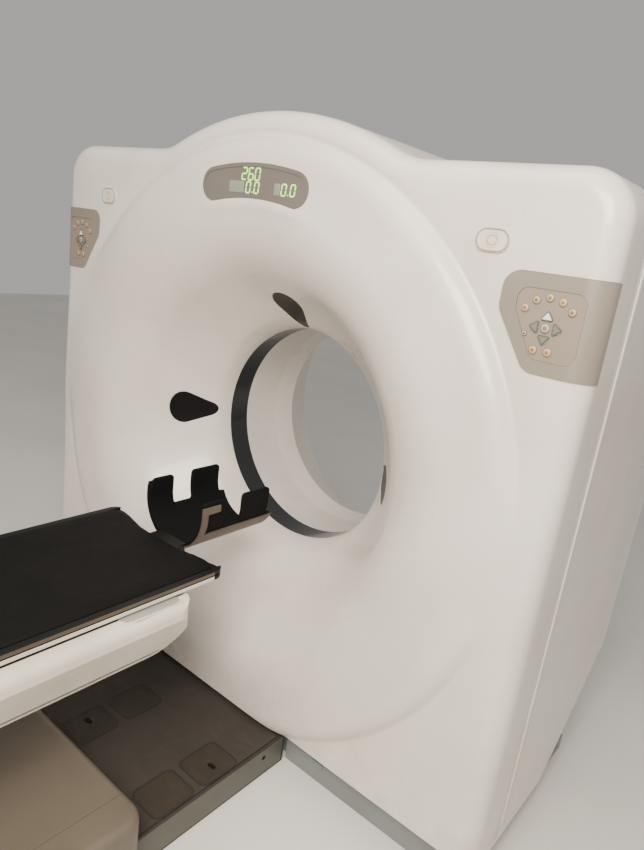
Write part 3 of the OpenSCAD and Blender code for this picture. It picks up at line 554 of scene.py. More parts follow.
@dataclass(frozen=True)
class CellFoam(Finish):
    """Skinned polyurethane foam: nearly black and dull, with open pores."""

    def relief(self, tree: bpy.types.NodeTree, where: bpy.types.NodeSocket) -> bpy.types.NodeSocket:
        """Returns small pits, one to each pore."""
        pores = add(tree, "TexVoronoi", {"Scale": 1 / (self.grain_mm * MM)}, {"Vector": where})
        return add(
            tree, "ValToRGB", {"stops": [(0.1, grey(0)), (0.5, grey(1))]},
            {"Fac": pores.outputs["Distance"]},
        ).outputs["Color"]


@dataclass(frozen=True)
class WorkedMetal(Finish):
    """Bare metal with the lines that turning or grinding leaves, which draw the highlight out."""

    lines: tuple[float, float, float] = (1.0, 1.0, 24.0)

    def relief(self, tree: bpy.types.NodeTree, where: bpy.types.NodeSocket) -> bpy.types.NodeSocket:
        """Returns fine lines along the worked direction."""
        drawn = add(tree, "Mapping", {"Scale": self.lines}, {"Vector": where})
        lines = add(
            tree,
            "TexNoise",
            {"Scale": 1 / (self.grain_mm * 6 * MM), "Detail": 6.0},
            {"Vector": drawn.outputs["Vector"]},
        )
        return lines.outputs["Fac"]


@dataclass(frozen=True)
class TwillLaminate(Finish):
    """Carbon cloth in clear resin: a dark twill that glints in steps, under a thin resin skin."""

    tow_mm: float = 4.0

    def colour(self, tree: bpy.types.NodeTree, where: bpy.types.NodeSocket) -> bpy.types.NodeSocket:
        """Returns the twill's steps; the 2 mm tows are drawn 4 mm wide so that the render shows them."""
        waves = [
            add(
                tree,
                "TexWave",
                {"Scale": 1 / (self.tow_mm * 6 * MM), "bands_direction": side, "wave_profile": "TRI"},
                {"Vector": where},
            ).outputs["Fac"]
            for side in ("X", "Y")
        ]
        step = add(tree, "Math", {"operation": "MULTIPLY"}, {0: waves[0], 1: waves[1]})
        ramp = add(
            tree,
            "ValToRGB",
            {"stops": [(0.2, linear(self.deep)), (0.5, linear(self.shade))]},
            {"Fac": step.outputs[0]},
        )
        return ramp.outputs["Color"]


@dataclass(frozen=True)
class WornSheet(Finish):
    """Hard floor sheet with a fine chip pattern, scuffed paler where feet and wheels pass."""

    scuff: str = "8B857B"
    scuff_share: float = 0.5

    def colour(self, tree: bpy.types.NodeTree, where: bpy.types.NodeSocket) -> bpy.types.NodeSocket:
        """Returns the sheet with pale scuffs and small chips of another tone."""
        base = super().colour(tree, where)
        drag = add(
            tree, "Mapping", {"Scale": (1.0, 3.2, 1.0), "Rotation": (0.0, 0.0, 0.5)}, {"Vector": where}
        )
        rub = add(
            tree,
            "TexNoise",
            {"Scale": 1 / (90 * MM), "Detail": 9.0, "Roughness": 0.72},
            {"Vector": drag.outputs["Vector"]},
        )
        mask = add(
            tree,
            "ValToRGB",
            {"stops": [(0.52, grey(0)), (0.72, grey(self.scuff_share))]},
            {"Fac": rub.outputs["Fac"]},
        )
        worn = add(
            tree, "Mix", {"data_type": "RGBA", 7: linear(self.scuff)},
            {0: mask.outputs["Color"], 6: base},
        )
        chips = add(tree, "TexVoronoi", {"Scale": 1 / (5 * MM)}, {"Vector": where})
        chip = add(
            tree,
            "ValToRGB",
            {"stops": [(0.1, grey(0.25)), (0.2, grey(0))]},
            {"Fac": chips.outputs["Distance"]},
        )
        out = add(
            tree,
            "Mix",
            {"data_type": "RGBA", 7: linear(self.scuff)},
            {0: chip.outputs["Color"], 6: worn.outputs[2]},
        )
        return out.outputs[2]


@dataclass(frozen=True)
class WrappedLaminate(Finish):
    """Painted glass laminate whose tongue and far half are wrapped in black leathercloth.

    It gives the eye a dull beige edge on the near side only.
    """

    wrap: str = "121212"
    tongue_y: float = -0.5209
    tongue_z: float = 0.629
    tongue_x: float = 0.0505
    far_x: float = -0.02

    def colour(self, tree: bpy.types.NodeTree, where: bpy.types.NodeSocket) -> bpy.types.NodeSocket:
        """Returns the paint, black on the tongue and on the far half."""
        base = super().colour(tree, where)
        at = add(tree, "SeparateXYZ", {}, {"Vector": where}).outputs
        across = add(tree, "Math", {"operation": "ABSOLUTE"}, {0: at["X"]}).outputs[0]
        tests = [
            add(tree, "Math", {"operation": "LESS_THAN", 1: limit}, {0: value}).outputs[0]
            for value, limit in (
                (at["Y"], self.tongue_y), (at["Z"], self.tongue_z), (across, self.tongue_x),
                (at["X"], self.far_x),
            )
        ]
        both = add(tree, "Math", {"operation": "MULTIPLY"}, {0: tests[0], 1: tests[1]}).outputs[0]
        tongue = add(tree, "Math", {"operation": "MULTIPLY"}, {0: both, 1: tests[2]}).outputs[0]
        mask = add(tree, "Math", {"operation": "MAXIMUM"}, {0: tongue, 1: tests[3]}).outputs[0]
        return add(
            tree, "Mix", {"data_type": "RGBA", 7: linear(self.wrap)}, {0: mask, 6: base}
        ).outputs[2]


@dataclass(frozen=True)
class Lit(Finish):
    """The segment of a display, lit from behind."""

    glow: float = 1.0

    def extra(self, shader: bpy.types.Node) -> None:
        """Sets the light it gives on the shader."""
        shader.inputs["Emission Color"].default_value = linear(self.shade)
        shader.inputs["Emission Strength"].default_value = self.glow


# Warm white enamel: a broad soft gloss over faint clouding
COVER = SprayedCover(
    "sprayed_polyurethane_cover", "E3DCD4", "DAD2C8", 0.30, coat=0.25, grain_mm=9, grain_depth_mm=0.02
)
# The same enamel, duller inside the bore and darker towards the bottom
LINER = SprayedCover(
    "sprayed_bore_liner", "DCD6CF", "CFC8BF", 0.34, coat=0.15, grime_and_shade_low=0.4, grime_and_shade_high=0.62
)
# The table's enamel, a little yellower, with painted shade darkening the lower side of the housing
HOUSING = SprayedCover(
    "sprayed_table_housing", "DDD7CD", "D0C8BC", 0.34, coat=0.15, grime_and_shade_low=0.46, grime_and_shade_high=0.62,
    grime_and_shade="7C6F60",
)
# Thin film stretched over the scan slot: black, with a long clear highlight
SCAN_FILM = Finish(
    "dark_polycarbonate_film", "1B1B1D", "141416", 0.09, ior=1.585, grain_mm=30,
    grain_depth_mm=0.02, unevenness=0.03,
)
# Smoked acrylic, wiped dull: near black with a soft sheen
LASER_GLASS = Finish(
    "smoked_acrylic_window", "100D0F", "0A090A", 0.34, ior=1.35, grain_mm=40, grain_depth_mm=0.01,
    unevenness=0.02,
)
# Moulded plate with a fine spark texture: an even taupe satin
SATIN_PLATE = Finish(
    "satin_moulded_abs_plate", "716A64", "69635D", 0.42, ior=1.54, grain_mm=1.6, grain_depth_mm=0.03
)
# Grey sheet on each top shoulder of the housing where its top steps down: the inner flat's grey, with the
# step's shade painted in
INSET_GREY = Finish(
    "grey_step_with_painted_shade", "9C9B94", "93928B", 0.5, ior=1.53, grain_mm=2, grain_depth_mm=0.03
)
# Anodised strip: a dull brown line with a hint of metal
EDGE_TAUPE = Finish("anodised_edge_strip", "5B5349", "524A41", 0.4, metallic=0.3, grain_mm=3)
# Moulded frame: a warm grey satin, paler than the display
PANEL_FRAME = Finish(
    "satin_moulded_abs_frame", "898277", "80796E", 0.42, ior=1.54, grain_mm=2, grain_depth_mm=0.02
)
# Silicone rubber: a matt skin tone
KEY_MAT = Finish(
    "moulded_silicone_mat", "8D8275", "857A6D", 0.52, ior=1.43, grain_mm=3, grain_depth_mm=0.03
)
# Raised key: the mat's rubber, polished by fingers
KEY_CAP = Finish("moulded_key_cap", "BFB29D", "B6A994", 0.45, ior=1.43, grain_mm=3, grain_depth_mm=0.02)
# Button plastic: cream, with a tighter gloss than the covers
CREAM_ABS = Finish(
    "cream_abs_button", "E2DACB", "D9D0C0", 0.33, ior=1.54, grain_mm=6, grain_depth_mm=0.01
)
# Textured cover: a pale beige darkened to a matt brown grey as painted shade under the table, and darker
# towards the bottom
TABLE_SHELL = SprayedCover(
    "textured_abs_base_cover", "635B50", "595146", 0.46, grime_and_shade_low=0.0, grime_and_shade_high=0.2,
    grain_mm=2.2, grain_depth_mm=0.06,
)
# Extruded strip: a cool grey satin, even along its length
PLINTH = Finish("extruded_vinyl_strip", "7C8180", "707574", 0.45, ior=1.53, grain_mm=3)
# Floor sheet: dark and matt, with pale chips and drag marks
FLOOR_SKIN = WornSheet(
    "homogeneous_vinyl_sheet", "36322E", "2F2B28", 0.62, ior=1.4, grain_mm=1.2,
    grain_depth_mm=0.05, scuff="544E47", scuff_share=0.2,
)
# The same sheet on the hatches, a little browner
HATCH_SKIN = WornSheet(
    "vinyl_covered_hatch", "312B25", "2B2620", 0.62, ior=1.4, grain_mm=1.2, grain_depth_mm=0.05,
    scuff="544E47", scuff_share=0.2,
)
# Painted folded sheet: a dark olive grey
SKIRT = Finish("folded_aluminium_skirt", "4D4F48", "444640", 0.42, grain_mm=3)
# Powder coat: an even grey with a fine orange-peel relief
FRAME_STEEL = Finish("powder_coated_steel", "8B9096", "7E8389", 0.5, grain_mm=1.5, grain_depth_mm=0.08)
# Turned steel: bright, with its highlight drawn into lines
BARE_STEEL = WorkedMetal(
    "turned_bearing_steel", "C2C3C4", "ADAFB1", 0.26, metallic=1.0, grain_mm=0.8, grain_depth_mm=0.02
)
# Milled steel: duller and browner than the bearings
GEAR_STEEL = WorkedMetal(
    "milled_gear_steel", "8F8E8B", "6F6D69", 0.38, metallic=1.0, grain_mm=1.0, grain_depth_mm=0.03
)
# Moulded rubber: a dead black with a grey bloom
RUBBER = Finish(
    "moulded_black_rubber", "1C1C1D", "151516", 0.62, ior=1.52, grain_mm=1.5, grain_depth_mm=0.06
)
# Blacked steel: a dark head with a small glint
BLACK_SCREW = Finish("blacked_steel_screw", "2A2A2A", "222222", 0.4, metallic=1.0, grain_mm=1)
# Turned copper rings: a warm bright metal
COPPER = WorkedMetal(
    "turned_copper_alloy_rings", "C79A63", "AE8350", 0.3, metallic=1.0, grain_mm=0.8, grain_depth_mm=0.03
)
# Enamelled casting: cream with a coarse soft relief
TUBE = Finish("cast_aluminium_enamel", "CFCBC2", "BDB8AE", 0.38, grain_mm=5, grain_depth_mm=0.1)
# Painted lead: dark blue grey, slightly lumpy
LEAD = Finish("painted_lead", "4D5156", "42464B", 0.55, grain_mm=6, grain_depth_mm=0.12)
# Painted sheet metal: a neutral cabinet grey
CABINET = Finish("painted_sheet_cabinet", "A1A59F", "93978F", 0.46, grain_mm=3)
# Carbon twill under resin: black steps that glint in turn
CARBON = TwillLaminate("carbon_twill_laminate", "17181A", "0E0F10", 0.5, ior=1.3)
# Leathercloth: a pebbled matt black
VINYL = GrainedVinyl(
    "leathercloth_vinyl", "0E0D0D", "0A0A0A", 0.7, ior=1.24, grain_mm=3.0, grain_depth_mm=0.22,
    cloud_mm=160,
)
# Painted laminate: a beige edge, wrapped black on its far side
SHELL = WrappedLaminate(
    "glass_laminate_shell", "5A5249", "50483F", 0.5, ior=1.38, grain_mm=5, grain_depth_mm=0.05,
    cloud_mm=40,
)
# Skinned foam: the dullest black, with open pores
FOAM = CellFoam("skinned_foam", "0E0E0E", "0A0A0A", 0.86, ior=1.25, grain_mm=2.2, grain_depth_mm=0.3)
# Lit segments: a pale green glow
LIT_GREEN = Lit("lit_green_segment", "9FE06A", "93D560", 0.5, glow=2.2)
# Unlit part of the display: a flat grey green
FIELD = Finish("unlit_display_field", "8C9485", "828A7B", 0.35, grain_mm=8)
# Printed line round a key: dark grey green
KEY_LINE = Finish("printed_key_outline", "555850", "4B4E46", 0.5, grain_mm=2)
# Screen print on the stop pads: a thin matt grey
PRINT_GREY = Finish("grey_print", "7F7A75", "75706B", 0.5, grain_mm=2)
# Worn screen print: a faint red
PRINT_RED = Finish("faint_red_print", "C98F84", "BE8378", 0.45, grain_mm=2)
# White ink: a little glossier than the mat
INK_WHITE = Finish("white_print", "E9E6E0", "DEDAD2", 0.45, grain_mm=2)
# The studio's floor: pale and plain
FLOOR = Finish(
    "plain_pale_floor", "DDDAD5", "D6D2CC", 0.6, grain_mm=40, grain_depth_mm=0.05, cloud_mm=900
)
# Painted shadow of the flank seam's groove: a soft dark grey line
GROOVE = Finish("painted_seam_shadow", "6E675F", "625B53", 0.7, grain_mm=2)


class KeyInk(Enum):
    """The printed colours of the gantry keys."""

    RED = Finish("key_print_red", "9C6A50", "8E5E45", 0.5, grain_mm=2)
    OLIVE = Finish("key_print_olive", "7C6F3E", "706435", 0.5, grain_mm=2)
    YELLOW = Finish("key_print_yellow", "86763F", "796A36", 0.5, grain_mm=2)
    ORANGE = Finish("key_print_orange", "A07A46", "936E3C", 0.5, grain_mm=2)
    GREEN = Finish("key_print_grey_green", "73766A", "696C60", 0.5, grain_mm=2)
    BROWN = Finish("key_print_brown", "94703F", "876537", 0.5, grain_mm=2)


WEARERS: dict[Finish, tuple[str, ...]] = {
    COVER: ("side_cover_left", "side_cover_right", "top_cover", "rear_cover"),
    SCAN_FILM: ("scan_window",),
    LINER: ("bore_liner",),
    SATIN_PLATE: ("display_plate",),
    PANEL_FRAME: ("control_panel_left", "control_panel_right"),
    KEY_MAT: ("keypad_left", "keypad_right"),
    CREAM_ABS: ("estop_plate_left", "estop_plate_right", "estop_button_left", "estop_button_right"),
    PLINTH: ("plinth_strip",),
    FLOOR_SKIN: ("foot_plate",),
    HATCH_SKIN: ("hatch_right_front", "hatch_right_rear", "hatch_left_front", "hatch_left_rear"),
    TABLE_SHELL: ("table_base_top", "table_base_side_left", "table_base_side_right"),
    HOUSING: ("table_housing",),
    CABINET: ("lift_sleeve_lower", "lift_sleeve_middle", "tilt_motor", "drum_motor", "lift_drive",
        "power_unit"),
    CARBON: ("cradle_board",),
    SHELL: ("head_holder_shell",),
    FRAME_STEEL: ("base_plate", "trunnion_tower_left", "trunnion_tower_right", "tilt_frame",
        "rotor_drum", "table_base_frame", "table_frame"),
    BARE_STEEL: ("motor_pulley", "trunnion_bearings", "trunnion_pins", "drum_bearing_ring",
        "lift_screw"),
    GEAR_STEEL: ("tilt_pinion", "tilt_sector"),
    RUBBER: ("drum_belt", "front_roller", "rear_roller", "brush_block"),
    COPPER: ("slip_ring",),
    TUBE: ("xray_tube",),
    LEAD: ("collimator", "detector_arc"),
}


# Gantry


@dataclass
class FrontCover:
    """The front cover: flange, rounded edge, soft-rimmed disc and bell mouth in one skin.

    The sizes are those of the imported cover, in metres.
    """

    iso: float = 0.838
    half_width: float = 0.880
    shoulder: float = 0.771
    arch: float = 0.868
    blend_k: float = 4.6
    corner: float = 0.100
    edge: float = 0.048
    face: float = -0.335
    plateau: float = -0.360
    flange: float = -0.170
    wall: float = 0.0046
    throat_r: float = 0.140
    cone_deg: float = 38.0
    flare_r: float = 0.240
    aperture: float = 0.325
    window_half: float = 0.038
    swing: float = 0.815
    bottom: float = 0.058
    flange_corner: float = 0.040
    window_turns: tuple[float, ...] = (0.0, 90.0, 180.0)
    window_depth: float = -0.0585
    pane_depths: Point = (0.0025, 0.0065)
    floor_line: float = -0.06
    outline_step: float = 0.022
    fades: tuple[tuple[float, float, float], ...] = ((93.0, 5.0, 17.0), (285.0, 13.0, 22.0))
    rim_start: float = 0.806
    rim_width: float = 0.058
    rim_power: float = 2.5
    dip_r: float = 0.810
    dip_width: float = 0.010
    dip_depth: float = 0.0042
    blur_step: float = 0.0022
    gentle_start: float = 0.900
    gentle_width: float = 0.220
    flange_rings: tuple[Point, ...] = ((0.0025, 0.0004), (0.0008, 0.0012), (0.0, 0.0035))
    flank_depths: Point = (-0.21, -0.25)
    disc_radii: tuple[float, ...] = (
        0.816, 0.812, 0.809, 0.806, 0.803, 0.800, 0.797, 0.793, 0.789, 0.784, 0.778, 0.771,
        0.763, 0.755, 0.747, 0.739, 0.728, 0.712, 0.694, 0.676,
    )
    lip_r: float = 0.640
    lip_width: float = 0.008
    lip_height: float = 0.0042
    lip_half_deg: float = 17.0
    lip_soft_deg: float = 3.0
    display_outer: float = 0.737
    display_mid: float = 0.696
    display_inner: float = 0.655
    display_end: float = 0.041
    display_half_deg: float = 15.0
    panel_place: Point = (0.780, 0.478)
    panel_corner: float = 0.034
    panel_slope: Point = (58.0, 88.0)
    stop_place: Point = (0.640, 0.623)
    stop_half: float = 0.013
    stop_r: float = 0.0225
    drop_start: float = 0.023
    drop_length: float = 0.083
    drop_squash: float = 0.6
    drop_radii: Point = (0.023, 0.052)
    clearance: float = 0.0006
    tool_front: float = -0.40
    display_floor: float = -0.342
    panel_floor: float = -0.2907
    stop_floor: float = -0.30

    def outline(self) -> list[tuple[Vector, Vector]]:
        """Draws the gantry's front outline about the isocentre.

        Returns:
            Points and their outward normals, turning left.
        """
        h = self.arch - self.shoulder
        c = Vector((h * self.blend_k, h * (self.blend_k**2 - 1) / 2))
        blend = c.y - self.shoulder
        w, rc, low = self.half_width, self.corner, self.floor_line - self.iso
        half: list[tuple[Vector, Vector]] = []

        def line(a: Vector, b: Vector, n: Vector) -> None:
            """Adds points from a up to, not including, b."""
            steps = max(int((b - a).length / self.outline_step), 1)
            half.extend((a.lerp(b, i / steps), n) for i in range(steps))

        def bend(centre: Vector, r: float, start: float, end: float, hollow: bool, steps: int) -> None:
            """Adds points on an arc, without its end."""
            for i in range(steps):
                a = math.radians(start + (end - start) * i / steps)
                d = Vector((math.cos(a), math.sin(a)))
                half.append((centre + d * r, -d if hollow else d))

        line(Vector((0, low)), Vector((w - rc, low)), Vector((0, -1)))
        bend(Vector((w - rc, low + rc)), rc, -90, 0, False, 8)
        line(Vector((w, low + rc)), Vector((w, self.shoulder - rc)), Vector((1, 0)))
        bend(Vector((w - rc, self.shoulder - rc)), rc, 0, 90, False, 14)
        line(Vector((w - rc, self.shoulder)), Vector((c.x, self.shoulder)), Vector((0, 1)))
        foot = math.degrees(math.atan2(-c.y, -c.x))
        bend(c, blend, -90, foot, True, 8)
        bend(Vector((0, 0)), self.arch, math.degrees(math.atan2(c.y, c.x)), 90, False, 20)
        mirror = [(Vector((-p.x, p.y)), Vector((-n.x, n.y))) for p, n in reversed(half[1:])]
        return half + [(Vector((0, self.arch)), Vector((0, 1)))] + mirror

    def fade(self, clock: float) -> float:
        """Returns how strong the disc's rim is: 1 in full, 0 where it runs out into the face.

        Args:
            clock: degrees clockwise from the top, seen from the front.

        Returns:
            A share from 0 to 1.
        """
        share = 1.0
        for middle, half, soft in self.fades:
            off = abs((clock - middle + 180) % 360 - 180)
            t = min(max((off - half) / soft, 0.0), 1.0)
            share = min(share, t * t * (3 - 2 * t))
        return share

    def rim(self, r: float, share: float) -> float:
        """Returns the depth of the face at a radius.

        Args:
            r: distance from the aperture's axis.
            share: the rim's strength from fade().

        Returns:
            The y of the skin, between the plateau and the face.
        """
        rise = self.face - self.plateau

        def raw(s: float) -> float:
            """Returns the rim's section before it is softened."""
            t = min(max((self.rim_start - s) / self.rim_width, 0.0), 1.0)
            dip = self.dip_depth * math.exp(-(((s - self.dip_r) / self.dip_width) ** 2))
            return self.face - rise * (1 - (1 - t) ** self.rim_power) + dip

        strong = sum(raw(r + k * self.blur_step) for k in range(-3, 4)) / 7
        t = min(max((self.gentle_start - r) / self.gentle_width, 0.0), 1.0)
        gentle = self.face - rise * (t * t * (3 - 2 * t))
        return gentle + (strong - gentle) * share

    def skin(self) -> bpy.types.Object:
        """Builds the closed shell before its openings are cut.

        Returns:
            The shell, with its wall's thickness.
        """
        around = self.outline()
        n = len(around)
        rings: list[list[tuple[float, float, float]]] = []

        def ring(points: list[Vector], ys: list[float]) -> None:
            """Adds one ring from points about the isocentre and their depths."""
            rings.append([(p.x, y, p.y + self.iso) for p, y in zip(points, ys)])

        inner = [p - q * self.edge for p, q in around]
        clocks = [math.degrees(math.atan2(p.x, p.y)) % 360 for p in inner]
        shares = [self.fade(c) for c in clocks]
        face_y = [self.rim(p.length, s) for p, s in zip(inner, shares)]
        back = self.face + self.edge
        for inset, ahead in self.flange_rings:
            ring([p - q * inset for p, q in around], [self.flange - ahead] * n)
        for y in self.flank_depths:
            ring([p for p, q in around], [y] * n)
        for k in range(0, 10):
            a = math.radians(10 * k)
            pts = [p - q * (self.edge * (1 - math.cos(a))) for p, q in around]
            ring(pts, [back - (back - fy) * math.sin(a) for fy in face_y])
        rays = [Vector((math.sin(math.radians(c)), math.cos(math.radians(c)))) for c in clocks]
        for t in (0.0, 0.33, 0.66):
            pts = [p.lerp(ray * self.disc_radii[0], t) for p, ray in zip(inner, rays)]
            ring(pts, [self.rim(p.length, s) for p, s in zip(pts, shares)])
        for r in self.disc_radii:
            ring([ray * r for ray in rays], [self.rim(r, s) for s in shares])
        for r, y in self.bell():
            ys = [y - self.lip(r, c) for c in clocks]
            ring([ray * r for ray in rays], ys)
        obj = loft("front_cover_skin", rings, closed_ends=False)
        solid = obj.modifiers.new("wall", "SOLIDIFY")
        solid.thickness, solid.offset, solid.use_rim = self.wall, -1.0, True
        return settle(obj)

    def bell(self) -> list[Point]:
        """Draws the bell mouth's section from the plateau in to the aperture.

        Returns:
            Pairs of radius and y.
        """
        a = math.radians(self.cone_deg)
        c0 = (self.aperture + self.throat_r, -self.window_half)
        t1 = (c0[0] - self.throat_r * math.cos(a), c0[1] - self.throat_r * math.sin(a))
        end_r = t1[0] + math.tan(a) * (-self.plateau + t1[1])
        c1 = (end_r + self.flare_r * math.tan((math.pi / 2 - a) / 2), self.flare_r + self.plateau)
        flare = arc(c1, self.flare_r, 270, 180 + self.cone_deg, 18)
        throat = arc(c0, self.throat_r, 180 + self.cone_deg, 180, 12)
        mid = [tuple(Vector(flare[-1]).lerp(Vector(throat[0]), t)) for t in (0.2, 0.4, 0.6, 0.8)]
        return flare + mid + throat

    def lip(self, r: float, clock: float) -> float:
        """Measures the soft lip under the display.

        Args:
            r: distance from the aperture's axis.
            clock: degrees clockwise from the top.

        Returns:
            How far the lip stands out there.
        """
        off = abs((clock + 180) % 360 - 180)
        t = min(max((self.lip_half_deg - off) / self.lip_soft_deg, 0.0), 1.0)
        lip = self.lip_height * math.exp(-(((r - self.lip_r) / self.lip_width) ** 2))
        return lip * t * t * (3 - 2 * t)

    def display_outline(self, grow: float = 0.0) -> list[Point]:
        """Draws the display plate: two arcs about the isocentre with round ends.

        Args:
            grow: how much larger the outline is drawn all round.

        Returns:
            Points in the front plane.
        """
        mid, end = self.display_mid, self.display_end
        span = self.display_half_deg - math.degrees(math.asin(end / mid))
        outer = arc((0.0, self.iso), self.display_outer + grow, 90 - span, 90 + span, 26)
        inner = arc((0.0, self.iso), self.display_inner - grow, 90 + span, 90 - span, 26)
        turn = math.radians(90 + span)
        left = (mid * math.cos(turn), self.iso + mid * math.sin(turn))
        right = (-left[0], left[1])
        cap_l = arc(left, end + grow, 90 + span, 270 + span, 14)[1:-1]
        cap_r = arc(right, end + grow, -90 - span, 90 - span, 14)[1:-1]
        return outer + cap_l + inner + cap_r

    def panel_outline(self, side: int, grow: float = 0.0) -> list[Point]:
        """Draws a control panel, which runs off the cover's side edge.

        Args:
            side: 1 for the right panel, -1 for the left.
            grow: how much larger the outline is drawn all round.

        Returns:
            Points in the front plane.
        """
        r, lean = self.panel_corner + grow, math.degrees(math.atan2(*self.panel_slope))
        pts = arc((-0.066, 0.064), r, 90, 180, 8) + arc((-0.066, 0.034), r, 180, 180 + lean, 3)[1:]
        pts += arc((-0.008, -0.054), r, 180 + lean, 270, 5) + [(0.134, -0.054 - r), (0.134, 0.064 + r)]
        across, up = self.panel_place
        pts = [(side * (across + x), self.iso + up + z) for x, z in pts]
        return pts if side > 0 else pts[::-1]

    def stadium(self, side: int, grow: float = 0.0) -> list[Point]:
        """Returns an emergency stop pad's outline in the front plane; side is 1 or -1."""
        x, z, r = side * self.stop_place[0], self.iso + self.stop_place[1], self.stop_r + grow
        right = arc((x + self.stop_half, z), r, -90, 90, 16)
        return right + arc((x - self.stop_half, z), r, 90, 270, 16)

    def drop(self, turn: float, grow: float = 0.0) -> list[Point]:
        """Draws a light window: a drop that points to the aperture.

        Args:
            turn: where it lies about the isocentre, in degrees.
            grow: how much larger the outline is drawn all round.

        Returns:
            Points in the front plane.
        """
        start, long, squash = self.aperture + self.drop_start, self.drop_length, self.drop_squash
        r0, r1 = (r + grow for r in self.drop_radii)
        lean = math.degrees(math.asin((r1 - r0) / long))
        tip = [(start + squash * x, z) for x, z in arc((0.0, 0.0), r0, 90 + lean, 270 - lean, 12)]
        end = [
            (start + squash * (x + long), z)
            for x, z in arc((0.0, 0.0), r1, -90 - lean, 90 + lean, 28)
        ]
        pts = tip + end
        c, s = math.cos(math.radians(turn)), math.sin(math.radians(turn))
        return [(x * c - z * s, self.iso + x * s + z * c) for x, z in pts]

    def pane(self, turn: float) -> bpy.types.Object:
        """Builds the smoked pane of one light window, let in just behind the bell mouth's surface.

        Args:
            turn: where the window lies, in degrees.

        Returns:
            The closed pane, which follows the bell mouth's curve.
        """
        surface = [Vector(p) for p in self.bell()]
        ahead, behind = surface[1:] + surface[-1:], surface[:1] + surface[:-1]
        inward = [Vector(((a - b).y, (b - a).x)).normalized() for a, b in zip(ahead, behind)]
        front, back = ([p + n * depth for p, n in zip(surface, inward)] for depth in self.pane_depths)
        rings = []
        for step in range(-12, 13):
            a = math.radians(turn + step)
            rings.append(
                [(p.x * math.cos(a), p.y, self.iso + p.x * math.sin(a)) for p in front + back[::-1]]
            )
        obj = loft("pane", rings)
        tool = plate("tool", self.drop(turn), Plane.FRONT, self.tool_front, self.window_depth)
        cut(obj, tool, keep_inside=True)
        return obj

    def room(self) -> bpy.types.Object:
        """Builds the cover's limit in side view, which keeps it clear of the floor in every tilt.

        Returns:
            A closed solid; what lies inside it is kept.
        """
        y0, y1 = -0.36, -self.flange
        low = self.bottom + self.flange_corner
        swing = [
            (y, self.iso - math.sqrt(self.swing**2 - y * y))
            for y in [-0.42 + 0.012 * i for i in range(16)]
            if self.iso - math.sqrt(self.swing**2 - y * y) > self.bottom
        ]
        corner = arc((-y1 - self.flange_corner, low), self.flange_corner, 270, 360, 8)
        pts = [(-0.6, 1.9), (-0.6, swing[0][1])] + swing + corner + [(0.02, low), (0.02, 1.9)]
        return plate("room", pts, Plane.SIDE, -1.0, 1.0)

    def build(self) -> bpy.types.Object:
        """Builds the cover with its openings and its panes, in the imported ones' places.

        Returns:
            The cover.
        """
        obj = self.skin()
        cut(obj, self.room(), keep_inside=True)
        gap = self.clearance
        openings = [(self.display_outline(gap), self.display_floor)]
        for side in (1, -1):
            openings.append((self.panel_outline(side, gap), self.panel_floor))
            openings.append((self.stadium(side, gap), self.stop_floor))
        openings += [(self.drop(turn, gap), self.window_depth) for turn in self.window_turns]
        for outline, depth in openings:
            cut(obj, plate("tool", outline, Plane.FRONT, self.tool_front, depth))
        place(obj, "gantry", "cover_white", COVER.build())
        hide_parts("front_cover")
        panes = joined("laser_panes", [self.pane(turn) for turn in self.window_turns])
        place(panes, "gantry", "dark_window", LASER_GLASS.build())
        crease(panes)
        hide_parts("laser_windows")
        return obj


